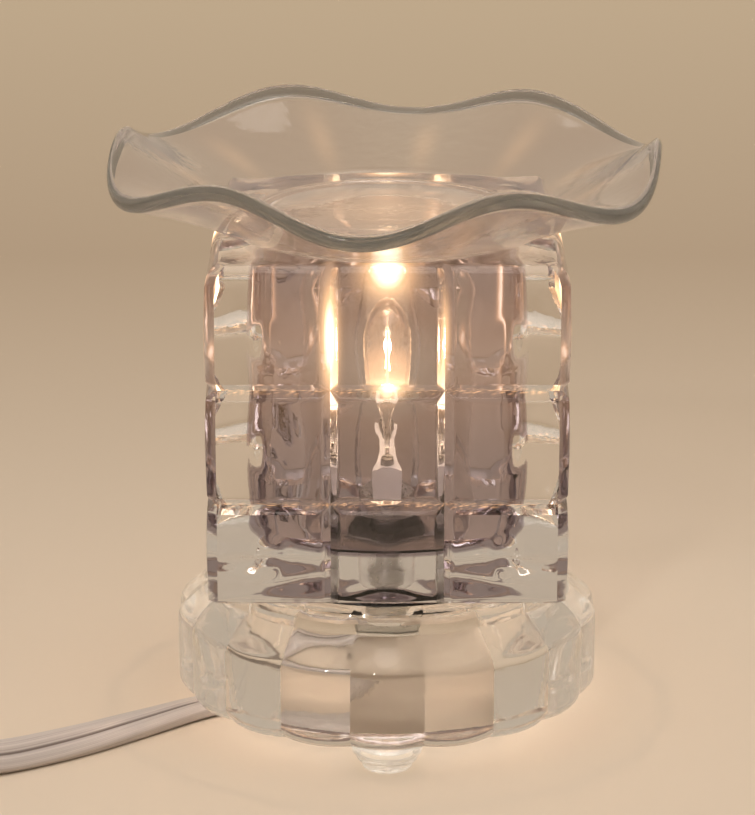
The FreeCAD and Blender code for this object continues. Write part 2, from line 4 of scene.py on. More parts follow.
import bmesh
import bpy
import numpy as np
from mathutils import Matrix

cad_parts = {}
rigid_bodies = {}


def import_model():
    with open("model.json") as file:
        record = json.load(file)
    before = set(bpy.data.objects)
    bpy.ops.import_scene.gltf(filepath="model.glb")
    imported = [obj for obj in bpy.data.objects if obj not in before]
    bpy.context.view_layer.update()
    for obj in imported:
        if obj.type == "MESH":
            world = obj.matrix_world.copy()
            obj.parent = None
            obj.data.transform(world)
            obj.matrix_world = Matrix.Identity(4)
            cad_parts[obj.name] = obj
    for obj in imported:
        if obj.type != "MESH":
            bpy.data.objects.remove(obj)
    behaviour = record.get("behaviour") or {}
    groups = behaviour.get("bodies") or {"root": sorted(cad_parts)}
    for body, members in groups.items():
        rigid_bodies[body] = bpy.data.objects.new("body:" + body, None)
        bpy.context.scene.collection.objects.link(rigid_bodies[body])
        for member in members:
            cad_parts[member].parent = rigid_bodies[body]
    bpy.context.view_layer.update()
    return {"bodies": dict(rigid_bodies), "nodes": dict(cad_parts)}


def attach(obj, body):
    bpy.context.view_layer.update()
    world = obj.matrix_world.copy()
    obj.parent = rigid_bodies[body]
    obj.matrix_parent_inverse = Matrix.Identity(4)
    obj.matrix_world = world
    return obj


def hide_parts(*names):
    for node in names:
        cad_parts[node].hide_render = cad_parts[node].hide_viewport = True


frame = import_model()
nodes = frame["nodes"]
MM = 0.001

# Studio
# A pale warm table top under a plain warm sky, lit by one wide soft lamp overhead and a small one at
# the front left. The table's colour carries painted shade and light: it is painted darker in a band behind
# the lamp and lighter again further back, so that clear glass shows its edges.
TABLE_RADIUS = 3.0
TABLE_NEAR = 0.06
TABLE_MIDDLE = 0.38
TABLE_FAR = 0.8
# painted shade and light: the table's colour, darker in a band behind the lamp, lighter near and far
TABLE_PAINTED_SHADE = [(TABLE_NEAR, (0.6, 0.505, 0.405)), (TABLE_MIDDLE, (0.485, 0.385, 0.285)),
                (TABLE_FAR, (0.71, 0.6, 0.455))]
SKY_TOP = (0.87, 0.74, 0.59)
SKY_EDGE = (0.88, 0.71, 0.54)
SKY_STRENGTH = 0.58


def new_material(name):
    """A material with a Principled shader: gives the material, its tree and the shader."""
    made = bpy.data.materials.new(name)
    made.use_nodes = True
    return made, made.node_tree, made.node_tree.nodes["Principled BSDF"]


def feed(target, value):
    """Sets an input to a value, or links it where the value is a socket."""
    if isinstance(value, bpy.types.NodeSocket):
        target.id_data.links.new(value, target)
    else:
        target.default_value = value


def fill(made, **values):
    """Sets a node's properties and feeds its inputs by name, with spaces written as underscores."""
    for key, value in values.items():
        if hasattr(made, key):
            setattr(made, key, value)
        else:
            feed(made.inputs[key.replace("_", " ")], value)
    return made


def node(tree, kind, **values):
    """Adds a shader node and fills it."""
    return fill(tree.nodes.new("ShaderNode" + kind), **values)


def ramp(tree, factor, stops):
    """The colour of a ramp over (position, red-green-blue) stops, fed by a factor socket."""
    made = node(tree, "ValToRGB", Fac=factor)
    elements = made.color_ramp.elements
    while len(elements) < len(stops):
        elements.new(0.5)
    for element, (position, colour) in zip(elements, stops):
        element.position = position
        element.color = (*colour, 1)
    return made.outputs[0]


def axis_socket(tree, axis, space="Object"):
    """The socket that gives a point's place along one axis."""
    place = node(tree, "TexCoord")
    return node(tree, "SeparateXYZ", Vector=place.outputs[space]).outputs[axis]


def grid_mesh(name, grids, close_rows=False, sharp=None, uv=None):
    """Four-sided faces over grids of points, each rows by columns by three, closed round the columns.
    Points that coincide are welded, and edges that turn by more than the sharp angle stay crisp."""
    corners = []
    start = 0
    for points in grids:
        rows, columns = points.shape[:2]
        index = start + np.arange(rows * columns).reshape(rows, columns)
        index = np.concatenate([index, index[:, :1]], 1)
        if close_rows:
            index = np.concatenate([index, index[:1]], 0)
        quads = [index[:-1, :-1], index[:-1, 1:], index[1:, 1:], index[1:, :-1]]
        corners.append(np.stack(quads, -1).reshape(-1, 4))
        start += rows * columns
    corners = np.concatenate(corners)
    places = np.concatenate([points.reshape(-1, 3) for points in grids])
    mesh = bpy.data.meshes.new(name)
    mesh.vertices.add(len(places))
    mesh.vertices.foreach_set("co", places.astype(np.float32).ravel())
    mesh.loops.add(corners.size)
    mesh.loops.foreach_set("vertex_index", corners.astype(np.int32).ravel())
    mesh.polygons.add(len(corners))
    mesh.polygons.foreach_set("loop_start", np.arange(0, corners.size, 4, dtype=np.int32))
    mesh.update(calc_edges=True)
    if uv is not None:
        mesh.uv_layers.new(name="along_cord").uv.foreach_set("vector", uv.astype(np.float32).ravel())
    mesh.polygons.foreach_set("use_smooth", np.ones(len(corners), bool))
    welded = bmesh.new()
    welded.from_mesh(mesh)
    bmesh.ops.remove_doubles(welded, verts=welded.verts, dist=1e-7)
    welded.to_mesh(mesh)
    welded.free()
    if sharp:
        mesh.set_sharp_from_angle(angle=math.radians(sharp))
    return mesh


def add_object(name, mesh, *materials):
    """Links a mesh as an object at the origin, with its materials in order."""
    made = bpy.data.objects.new(name, mesh)
    bpy.context.scene.collection.objects.link(made)
    for material in materials:
        mesh.materials.append(material)
    return made


table_turn = np.linspace(0, 2 * math.pi, 96, endpoint=False)
table_reach = np.linspace(TABLE_RADIUS, 0, 24)[:, None]
table_points = np.stack([table_reach * np.cos(table_turn), table_reach * np.sin(table_turn),
                         0 * table_reach * table_turn], -1)
# the table top's colour follows Y, with painted shade behind the lamp
table_material, tree, shader = new_material("table_top")
fill(shader, Base_Color=ramp(tree, axis_socket(tree, "Y"), TABLE_PAINTED_SHADE), Roughness=0.75)
table = add_object("table_top", grid_mesh("table_top", [table_points]), table_material)

world = bpy.data.worlds.new("studio_sky")
bpy.context.scene.world = world
world.use_nodes = True
tree = world.node_tree
sky = ramp(tree, axis_socket(tree, "Z", "Generated"), [(0.0, SKY_EDGE), (0.75, SKY_TOP)])
fill(tree.nodes["Background"], Color=sky, Strength=SKY_STRENGTH)


def soft_lamp(name, power, size, place, target, colour):
    """A round lamp of a given size in metres, at a place and turned to face a target."""
    data = bpy.data.lights.new(name, "AREA")
    data.energy = power
    data.shape = "DISK"
    data.size = size
    data.color = colour
    made = bpy.data.objects.new(name, data)
    bpy.context.scene.collection.objects.link(made)
    made.location = place
    aim = made.location.copy()
    aim.xyz = [a - b for a, b in zip(target, place)]
    made.rotation_euler = aim.to_track_quat("-Z", "Y").to_euler()
    return made


overhead = soft_lamp("overhead_lamp", power=7.6, size=1.0, place=(0.1, -0.25, 1.15), target=(0, 0, 0.05),
                     colour=(1.0, 0.985, 0.96))
overhead.visible_glossy = False
soft_lamp("side_lamp", power=2.5, size=0.06, place=(-0.33, -0.85, 0.75), target=(0, 0, 0.06),
          colour=(1.0, 0.98, 0.95))

# Camera
# A long lens in front of the lamp and a little above it, turned down so that the table fills the
# picture. Light may pass through many walls of glass before it is given up.
CAMERA_PLACE = (-1.99 * MM, -727.0 * MM, 287.1 * MM)
CAMERA_DOWN = math.radians(16.94)
CAMERA_LENS = 160.3
SENSOR_WIDTH = 36.0
LIGHT_BOUNCES = 24

camera_data = bpy.data.cameras.new("camera")
camera_data.lens = CAMERA_LENS
camera_data.sensor_width = SENSOR_WIDTH
camera = bpy.data.objects.new("camera", camera_data)
bpy.context.scene.collection.objects.link(camera)
camera.location = CAMERA_PLACE
camera.rotation_euler = (math.pi / 2 - CAMERA_DOWN, 0, 0)
bpy.context.scene.camera = camera
bpy.context.scene.view_settings.view_transform = "Standard"
bpy.context.scene.cycles.max_bounces = LIGHT_BOUNCES
bpy.context.scene.cycles.transmission_bounces = LIGHT_BOUNCES
bpy.context.scene.cycles.glossy_bounces = LIGHT_BOUNCES

# Clear feet
# Three soft clear vinyl bumpers, stuck under the base: a wide top disc that steps down to a
# narrower rounded foot.
MARKS_PER_WAVE = 9.0
FOOT_CIRCLE = 36.5 * MM
FOOT_TURNS = np.radians([-90, 30, 150])
FOOT_PROFILE = MM * np.array([
    # radius, height
    (0, 0.3), (3.6, 0.1), (4.6, 0.05), (5.0, 0.25), (5.2, 0.7), (5.25, 1.3), (5.5, 1.75), (6.1, 2.0),
    (6.35, 2.4), (6.4, 3.0), (6.7, 3.4), (7.2, 3.75), (7.3, 4.3), (7.25, 5.0), (6.9, 5.6), (6.2, 5.85),
    (2.4, 5.9), (1.9, 6.3), (1.2, 6.5), (0, 6.55),
])


def new_group(name, inputs, outputs):
    """A shader group with number sockets: gives the group, its input node and its output node."""
    group = bpy.data.node_groups.new(name, "ShaderNodeTree")
    for side, sockets in (("INPUT", inputs), ("OUTPUT", outputs)):
        for socket in sockets:
            group.interface.new_socket(socket, in_out=side, socket_type="NodeSocketFloat")
    return group, group.nodes.new("NodeGroupInput"), group.nodes.new("NodeGroupOutput")


def combine(tree, operation, first, second):
    """The socket of a Math node that takes two values or sockets."""
    made = node(tree, "Math", operation=operation)
    feed(made.inputs[0], first)
    feed(made.inputs[1], second)
    return made.outputs[0]


def ripple_group():
    """A shader group for pressed glass: long soft waves with finer chill marks over them as a height, and
    the stronger marks with an even haze as a bloom that roughens the skin."""
    group, inside, result = new_group("pressed_ripple", ("Wave Scale", "Fine Share", "Haze"),
                                      ("Height", "Bloom"))
    scale, share, haze = inside.outputs[:3]
    place = node(group, "TexCoord").outputs["Object"]
    waves = node(group, "TexNoise", Vector=place, Scale=scale, Detail=1.0, Roughness=0.4)
    fine_scale = combine(group, "MULTIPLY", scale, MARKS_PER_WAVE)
    marks = node(group, "TexNoise", Vector=place, Scale=fine_scale, Detail=2.0, Roughness=0.5)
    weaker = combine(group, "MULTIPLY", marks.outputs["Fac"], share)
    bloom = node(group, "MapRange", Value=marks.outputs["Fac"], From_Min=0.45, From_Max=0.75, To_Min=0.0,
                 To_Max=0.05)
    fill(result, Height=combine(group, "ADD", waves.outputs["Fac"], weaker),
         Bloom=combine(group, "ADD", bloom.outputs[0], haze))
    return group


PRESSED_RIPPLE = ripple_group()


def glass(name, tint, wave=90.0, fine=0.05, depth=0.0006, strength=0.25, clear=1.0, glow=0.0, bend=1.5,
          haze=0.0):
    """Clear or tinted glass with a rippled skin: wave, fine, depth and strength shape the ripple, haze
    roughens it, clear is how much it lets through and bend is its refractive index. Light from lamps passes
    straight through it, and with a glow it shines with a painted glow of the bulb's light where the mesh's
    painted_glow attribute says."""
    made, tree, shader = new_material(name)
    # painted glow: a warm emission, strongest where the painted_glow attribute is high, that stands in for
    # the bulb's light in the glass
    if glow:
        painted_glow_share = node(tree, "Attribute", attribute_name="painted_glow")
        warm = ramp(tree, painted_glow_share.outputs["Fac"],
                    [(0, (0, 0, 0)), (0.5, (0.4, 0.22, 0.1)), (1, (1, 0.84, 0.58))])
        fill(shader, Emission_Color=warm, Emission_Strength=glow)
    ripple = node(tree, "Group", node_tree=PRESSED_RIPPLE, Wave_Scale=wave, Fine_Share=fine, Haze=haze)
    bump = node(tree, "Bump", Strength=strength, Distance=depth, Height=ripple.outputs["Height"])
    fill(shader, Base_Color=(*tint, 1), Transmission_Weight=clear, IOR=bend, Normal=bump.outputs[0],
         Roughness=ripple.outputs["Bloom"])
    through = node(tree, "BsdfTransparent", Color=(*(part ** 0.5 for part in tint), 1))
    path = node(tree, "LightPath")
    mix = node(tree, "MixShader")
    feed(mix.inputs[0], path.outputs["Is Shadow Ray"])
    feed(mix.inputs[1], shader.outputs[0])
    feed(mix.inputs[2], through.outputs[0])
    fill(tree.nodes["Material Output"], Surface=mix.outputs[0])
    return made


def turned(profile, columns=64, centre=(0, 0, 0)):
    """A grid turned about an upright axis from (radius, height) points."""
    angle = np.linspace(0, 2 * math.pi, columns, endpoint=False)
    radius = profile[:, :1]
    height = np.repeat(profile[:, 1:], columns, 1)
    return np.stack([radius * np.cos(angle), radius * np.sin(angle), height], -1) + np.array(centre)


foot_places = [(FOOT_CIRCLE * math.cos(turn), FOOT_CIRCLE * math.sin(turn), 0) for turn in FOOT_TURNS]
foot_mesh = grid_mesh("clear_feet", [turned(FOOT_PROFILE, centre=place) for place in foot_places], sharp=50)
clear_vinyl = glass("clear_vinyl", (0.96, 0.94, 0.9), wave=200, clear=0.8, haze=0.05)
clear_feet = add_object("clear_feet", foot_mesh, clear_vinyl)
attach(clear_feet, "lamp")
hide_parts("foot_bumpers")

# Scalloped glass base
# One pressing of clear glass, hollow underneath, with rounded petals round its side, a sloping
# shoulder and a smaller scalloped tier that carries the body's round seat.
PETALS = 18
PETAL_BULGE = 1.1
TIER_BULGE = 0.7
BASE_ROWS = [
    # radius, height, share of the petals' bulge, share of the tier's bulge
    (5.1, 28.3, 0, 0), (13, 28.3, 0, 0), (21.2, 28.3, 0, 0), (21.9, 28.0, 0, 0), (22.2, 27.3, 0, 0),
    (23.5, 21.5, 0, 0), (24.8, 15.5, 0, 0), (26.7, 6.8, 0, 0), (27.0, 6.0, 0, 0), (27.6, 5.6, 0, 0),
    (31, 5.6, 0.2, 0), (36, 5.6, 0.6, 0), (41.2, 5.6, 1.5, 0), (42.3, 5.75, 1.4, 0),
    (43.2, 6.25, 1.3, 0), (43.9, 7.05, 1.15, 0), (44.35, 8.0, 1.05, 0), (44.5, 9, 1, 0),
    (44.5, 14, 1, 0), (44.5, 18, 1, 0), (44.5, 21.6, 1, 0), (44.3, 22.6, 1.1, 0), (43.8, 23.4, 1.2, 0),
    (43.0, 24.1, 1.1, 0), (41.5, 25.2, 0.5, 0), (39.5, 26.8, 0.1, 0.2), (38.2, 27.9, 0, 0.7),
    (37.6, 28.6, 0, 1), (37.5, 29.4, 0, 1), (37.5, 30.8, 0, 1), (37.2, 31.4, 0, 1.2),
    (36.6, 31.8, 0, 1.2), (35.9, 31.9, 0, 0.4), (35.5, 32.3, 0, 0), (35.5, 34.3, 0, 0),
    (35.2, 34.9, 0, 0), (34.6, 35.1, 0, 0), (20, 35.1, 0, 0), (5.1, 35.1, 0, 0), (5.1, 32, 0, 0),
]


def petal_grid(rows, petals, per_petal=20):
    """Turned rows whose radius falls from each petal's middle to its edges as the square of the way."""
    rows = np.array(rows)
    step = np.arange(petals * per_petal) / per_petal
    angle = 2 * math.pi * (step - 0.5) / petals - math.pi / 2
    fall = (2 * (step % 1) - 1) ** 2
    bulge = PETAL_BULGE * rows[:, 2:3] + TIER_BULGE * rows[:, 3:4]
    radius = rows[:, :1] - bulge * fall
    height = np.repeat(rows[:, 1:2], len(step), 1)
    return MM * np.stack([radius * np.cos(angle), radius * np.sin(angle), height], -1)


base_mesh = grid_mesh("glass_base", [petal_grid(BASE_ROWS, PETALS)], close_rows=True, sharp=24)
base_clear = glass("base_glass", (0.955, 0.94, 0.915), wave=110, depth=0.001, haze=0.045)
glass_base = add_object("glass_base", base_mesh, base_clear)
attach(glass_base, "lamp")
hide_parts("scalloped_base")

# Clamping hardware
# A threaded pipe with washers and hexagon nuts, all zinc plated steel, clamps the base and the body
# between silicone gaskets. A nylon bushing guards the cord at the pipe's lower end.


def worn_group():
    """A shader group for hard surfaces: cloudy patches and fine scuffs, as masks from 0 to 1."""
    group, inside, result = new_group("patches_and_scuffs", ("Patch Scale", "Scuff Scale"),
                                      ("Patches", "Scuffs"))
    place = node(group, "TexCoord").outputs["Object"]
    for scale, mask, detail in zip(inside.outputs, result.inputs, (3.0, 6.0)):
        noise = node(group, "TexNoise", Vector=place, Scale=scale, Detail=detail, Roughness=0.6)
        feed(mask, noise.outputs["Fac"])
    return group


WORN = worn_group()


def solid_finish(name, dark, light, rough, metal=0.0, patch=120.0, scuff=900.0, bump_strength=0.1):
    """An opaque finish between two colours, with roughness and bump from the worn group."""
    made, tree, shader = new_material(name)
    worn = node(tree, "Group", node_tree=WORN, Patch_Scale=patch, Scuff_Scale=scuff)
    tint = ramp(tree, worn.outputs["Patches"], [(0.3, dark), (0.7, light)])
    gloss = node(tree, "MapRange", Value=worn.outputs["Scuffs"], From_Min=0.3, From_Max=0.7,
                 To_Min=rough[0], To_Max=rough[1])
    bump = node(tree, "Bump", Strength=bump_strength, Distance=0.0002, Height=worn.outputs["Scuffs"])
    fill(shader, Base_Color=tint, Roughness=gloss.outputs[0], Normal=bump.outputs[0], Metallic=metal)
    return made


def dress(material, *names):
    """Gives pieces that come over from the CAD model a finish."""
    for name in names:
        nodes[name].data.materials.clear()
        nodes[name].data.materials.append(material)


zinc = solid_finish("zinc_steel", (0.42, 0.41, 0.39), (0.6, 0.59, 0.56), (0.22, 0.42), metal=1.0)
dress(zinc, "lamp_pipe", "floor_washer", "floor_nut", "base_washer", "base_nut", "socket_plate",
      "socket_spacers", "holder_screws", "dimmer_screws")
dress(solid_finish("pale_silicone", (0.5, 0.47, 0.43), (0.6, 0.57, 0.52), (0.5, 0.7)),
      "floor_gasket", "base_gasket")
nylon = solid_finish("natural_nylon", (0.62, 0.58, 0.51), (0.72, 0.68, 0.61), (0.35, 0.5))
dress(nylon, "pipe_bushing")

# Pressed glass body
# A thick square block of clear glass with a round chamber down its middle. Its sides are pressed into
# pillowed, dimpled tiles by V grooves, and a thin smoky mauve film lines the chamber's wall and floor.
BODY_HALF = 36.2
CORNER_BEVEL = 1.9
BODY_BOTTOM = 35.3
BODY_GROOVES = (55.8, 79.7)
CROWN_FOOT = 101.2
BODY_TOP = 105.5
CROWN_STEPS = [
    # how far in, how far up
    (0.0, 0.0), (0.1, 0.6), (0.5, 2.0), (1.2, 3.2), (2.0, 3.95), (2.5, 4.15), (3.2, 4.22),
]
CROWN_GROOVE = 0.8
FOOT_LIP = 0.5
FOOT_ROUND = 0.15
TILE_POINTS = 44
TILE_EDGE = 11.45
GROOVE_DEPTH = 1.6
PILLOW = 0.9
CHAMBER_RADIUS = 28.0
CHAMBER_FLOOR = 43.8
SIDE_DIMPLE = 0.9
MIDDLE_DIMPLE = 0.22
DIMPLE_HALF = (3.4, 5.0)
FLUTES = 8
FLUTE_DEPTH = 1.3
FLUTE_START = 14.0
FLUTE_REACH = 34.0
PIPE_HOLE = 5.1
FILM_INSIDE = 28.15
FILM_OUTSIDE = 28.4
FILM_TINT = (0.655, 0.615, 0.65)
PAINTED_FACING_WIDTH = 10.0
# painted glow: where the bulb's light is painted on each side of the body
PAINTED_GLOW_SPOTS = [
    # place along a side, its width, height, its width, strength
    (-TILE_EDGE, 1.5, 91.0, 9.5, 1.0), (TILE_EDGE, 0.8, 91.5, 7.0, 0.5), (0.0, 4.4, 104.5, 4.4, 1.0),
    (0.4, 3.0, BODY_GROOVES[1] + 0.8, 1.7, 0.9),
]
# painted glints: scattered highlights painted along the level grooves
PAINTED_GLINT_LIGHT = 0.6
PAINTED_GLINT_WIDTH = 0.5


def crowded(stops, per_span):
    """Points between stops, each span divided evenly in angle so that they crowd at its ends."""
    share = (1 - np.cos(np.linspace(0, math.pi, per_span, endpoint=False))) / 2
    spans = [low + (high - low) * share for low, high in zip(stops[:-1], stops[1:])]
    return np.concatenate(spans + [stops[-1:]])


def tile_relief(along, edges):
    """How deep a point is in the nearest V groove, how far it is up the pillow of its tile, and how far
    it is from the middle of the tile."""
    inner = np.array(edges[1:-1])
    groove = np.max(np.maximum(GROOVE_DEPTH - np.abs(along[:, None] - inner), 0), axis=1)
    tile = np.clip(np.searchsorted(edges, along, side="right") - 1, 0, len(edges) - 2)
    low = np.array(edges)[tile]
    high = np.array(edges)[tile + 1]
    pillow = 1 - (2 * (along - low) / (high - low) - 1) ** 2
    return groove, pillow, along - (low + high) / 2


def body_grid():
    """Columns go round the block and rows go from the pipe hole out under the foot, up the tiled sides,
    over the crown and down the chamber. A side's depth is the deeper of its two grooves, less the pillow,
    plus an oval dimple in the middle of each tile, shallow in the middle column. The underside rises in
    flutes, by a half sine wave outwards times a raised cosine round the axis."""
    flat = BODY_HALF - CORNER_BEVEL
    along = crowded(np.array([-flat, -TILE_EDGE, TILE_EDGE, flat]), TILE_POINTS)
    groove_x, pillow_x, off_x = tile_relief(along, (-BODY_HALF, -TILE_EDGE, TILE_EDGE, BODY_HALF))
    levels = crowded(np.array([BODY_BOTTOM, *BODY_GROOVES, CROWN_FOOT]), TILE_POINTS)
    groove_z, pillow_z, off_z = tile_relief(levels, (BODY_BOTTOM, *BODY_GROOVES, CROWN_FOOT))
    depth = np.maximum(groove_x[None], groove_z[:, None]) - PILLOW * pillow_x[None] * pillow_z[:, None]
    out_square = (off_x[None] / DIMPLE_HALF[0]) ** 2 + (off_z[:, None] / DIMPLE_HALF[1]) ** 2
    dimple = np.where(np.abs(along) > TILE_EDGE, SIDE_DIMPLE, MIDDLE_DIMPLE)
    depth += dimple[None] * np.maximum(0, 1 - out_square) ** 1.5
    inset = PILLOW + np.zeros((1, len(along)))
    foot = [(inset + FOOT_LIP, BODY_BOTTOM), (inset + FOOT_ROUND, BODY_BOTTOM + FOOT_ROUND)]
    crown = [(inset + step + groove_x[None] * CROWN_GROOVE, CROWN_FOOT + rise)
             for step, rise in CROWN_STEPS]
    insets = np.concatenate([d for d, _ in foot] + [depth[1:-1] + PILLOW] + [d for d, _ in crown])
    heights = np.concatenate([[z for _, z in foot], levels[1:-1], [z for _, z in crown]])
    reach = BODY_HALF - insets + PILLOW
    upright = [0.0] * (len(levels) - 2)
    drawn_in = np.array([FOOT_LIP, FOOT_ROUND] + upright + [step for step, _ in CROWN_STEPS])
    front = np.stack([along[None] * (1 - drawn_in[:, None] / flat), -reach], -1)
    turns = [np.array([[0, 1], [-1, 0]]), np.array([[-1, 0], [0, -1]]), np.array([[0, -1], [1, 0]])]
    plan = np.concatenate([front] + [front @ turn for turn in turns], 1)
    outside = np.concatenate([plan, np.repeat(heights[:, None, None], plan.shape[1], 1)], -1)
    bearing = np.arctan2(plan[0, :, 1], plan[0, :, 0])
    circle = np.stack([np.cos(bearing), np.sin(bearing)], -1)

    def round_rows(profile):
        radius = np.array(profile)[:, :1, None]
        height = np.repeat(np.array(profile)[:, 1:, None], len(bearing), 1)
        return np.concatenate([radius * circle[None], height], -1)

    under_radii = np.linspace(PIPE_HOLE, FLUTE_REACH, 13)
    under = round_rows([(radius, BODY_BOTTOM) for radius in under_radii])
    out = np.clip((under_radii - FLUTE_START) / (FLUTE_REACH - FLUTE_START), 0, 1)
    rise = FLUTE_DEPTH * np.sin(math.pi * out)[:, None]
    under[:, :, 2] += rise * (1 + np.cos(FLUTES * bearing[None])) / 2
    top = CROWN_FOOT + CROWN_STEPS[-1][1]
    mouth = round_rows([(CHAMBER_RADIUS + 1.2, top), (CHAMBER_RADIUS + 0.4, top - 0.25)])
    drop = np.linspace(BODY_TOP - 1.0, CHAMBER_FLOOR + 2.0, 24)
    wall = round_rows([(CHAMBER_RADIUS, z) for z in drop])
    floor = round_rows([(CHAMBER_RADIUS - 0.4, CHAMBER_FLOOR + 0.8), (CHAMBER_RADIUS - 1.6, CHAMBER_FLOOR),
                        (16, CHAMBER_FLOOR), (PIPE_HOLE, CHAMBER_FLOOR), (PIPE_HOLE, 40)])
    return MM * np.concatenate([under, outside, mouth, wall, floor])


def mesh_places(mesh):
    """A mesh's points in millimetres."""
    places = np.empty(len(mesh.vertices) * 3, np.float32)
    mesh.vertices.foreach_get("co", places)
    return places.reshape(-1, 3) / MM


def paint_glow(mesh, amount):
    """Stores the painted glow of the bulb's light at each point of a mesh, from 0 to 1."""
    layer = mesh.attributes.new("painted_glow", "FLOAT", "POINT")
    layer.data.foreach_set("value", np.clip(amount, 0, 1).astype(np.float32))


def spot(along, middle, width):
    """A bell curve of the given width about a middle."""
    return np.exp(-((along - middle) / width) ** 2)


def side_painted_glow(places):
    """Each side has the bulb's light painted on as a glow in bell-shaped spots on its two upright grooves,
    its crown and its upper groove, and as painted glints scattered along both level grooves."""
    x, y, z = places.T
    on_front = np.abs(y) > np.abs(x)
    along = np.where(on_front, -x * np.sign(y), y * np.sign(x))
    outside = np.maximum(np.abs(x), np.abs(y)) > CHAMBER_RADIUS + 1.5
    spots = [light * spot(along, at, width) * spot(z, height, length)
             for at, width, height, length, light in PAINTED_GLOW_SPOTS]
    glints = np.random.default_rng(3).random(len(z)) ** 7
    painted_beads = PAINTED_GLINT_LIGHT * glints * sum(spot(z, height, PAINTED_GLINT_WIDTH) for height in BODY_GROOVES)
    return outside * np.maximum.reduce([*spots, painted_beads])


body_mesh = grid_mesh("glass_body", [body_grid()], close_rows=True, sharp=34)
body_places = mesh_places(body_mesh)
# painted glow and painted glints of the bulb's light on the body's grooves and crown
paint_glow(body_mesh, side_painted_glow(body_places))
body_clear = glass("body_glass", (0.95, 0.93, 0.91), wave=80, depth=0.0008, glow=2.2)
ground_hole = glass("ground_hole", (0.95, 0.93, 0.91), wave=400, haze=0.22)
glass_body = add_object("glass_body", body_mesh, body_clear, ground_hole)
face_corners = np.empty(len(body_mesh.loops), np.int32)
body_mesh.loops.foreach_get("vertex_index", face_corners)
corner_reach = np.hypot(*body_places[:, :2].T)[face_corners.reshape(-1, 4)]
in_hole = corner_reach.max(1) < PIPE_HOLE + 0.1
body_mesh.polygons.foreach_set("material_index", in_hole.astype(np.int32))
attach(glass_body, "lamp")
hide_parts("tile_body")

film_top = BODY_TOP - 0.8
film_hole = PIPE_HOLE + 0.5
film_rows = np.array([
    (FILM_OUTSIDE, film_top), (FILM_INSIDE, film_top), (FILM_INSIDE, CHAMBER_FLOOR - 0.2),
    (film_hole, CHAMBER_FLOOR - 0.2), (film_hole, CHAMBER_FLOOR - 0.4), (FILM_OUTSIDE, CHAMBER_FLOOR - 0.4),
])
film_spans = [np.linspace(a, b, 12, endpoint=False) for a, b in zip(film_rows, np.roll(film_rows, -1, 0))]
film_points = MM * turned(np.concatenate(film_spans), 128)
film_mesh = grid_mesh("chamber_film", [film_points], close_rows=True, sharp=40)
film_x, film_y, film_height = mesh_places(film_mesh).T
# painted glow on the film: a warm band all round it, brighter in the middle of each side
painted_facing_glow = np.maximum(spot(film_x, 0, PAINTED_FACING_WIDTH), spot(film_y, 0, PAINTED_FACING_WIDTH))
painted_ring_glow = 0.55 * spot(film_height, 84, 15)
paint_glow(film_mesh, painted_ring_glow + 0.45 * painted_facing_glow * spot(film_height, 82, 14))
film_mauve = glass("smoky_film", FILM_TINT, wave=60, depth=0.0, strength=0.0, glow=0.1, bend=1.0)
chamber_film = add_object("chamber_film", film_mesh, film_mauve)
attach(chamber_film, "lamp")

# Lamp holder
# A bar of white steatite on two spacers and a steel plate, with brass sleeves for the bulb's pins
# and two sleeved wires that come up the pipe.
steatite = solid_finish("white_ceramic", (0.7, 0.66, 0.6), (0.82, 0.79, 0.73), (0.45, 0.65))
dress(steatite, "ceramic_socket")
brass = solid_finish("brass", (0.6, 0.43, 0.2), (0.7, 0.52, 0.27), (0.2, 0.36), metal=1.0, patch=60)
dress(brass, "socket_contacts", "dimmer_terminals", "plug_blades")
sleeve = solid_finish("lead_sleeve", (0.62, 0.58, 0.5), (0.78, 0.75, 0.68), (0.7, 0.9), scuff=2500)
dress(sleeve, "lead_wires")

# Halogen capsule
# A small quartz capsule, round above and pinched flat below, with two pins, two inner leads and an
# upright tungsten coil that is lit.
PINCH_BOTTOM = 57.5
PINCH_HALF = (1.2, 5.3)
PINCH_TOP_HALF = (4.6, 4.7)
CAPSULE_BOTTOM = 67.0
CAPSULE_TOP = 87.5
CAPSULE_RADIUS = 6.3
CAPSULE_WALL = 1.1
CAPSULE_NECK = 1.6
FILAMENT_LOW = 76.5
FILAMENT_HIGH = 83.5
FILAMENT_RADIUS = 0.6
FILAMENT_WIRE = 0.24
FILAMENT_TURNS = 10
FILAMENT_GLOW = 60.0
LEAD_GLOW = 1.6
BULB_POWER = 0.08


def dome_rows(radius, bottom, top):
    """(radius, height) rows of a capsule: a rounded neck, a straight wall and a round dome."""
    neck = np.linspace(0, math.pi / 2, 7)
    dome = np.linspace(0, math.pi / 2, 13)
    low = np.stack([radius - CAPSULE_NECK * (1 - np.sin(neck)),
                    bottom + CAPSULE_NECK * (1 - np.cos(neck))], -1)
    high = np.stack([radius * np.cos(dome), top - radius + radius * np.sin(dome)], -1)
    return np.concatenate([low, high])


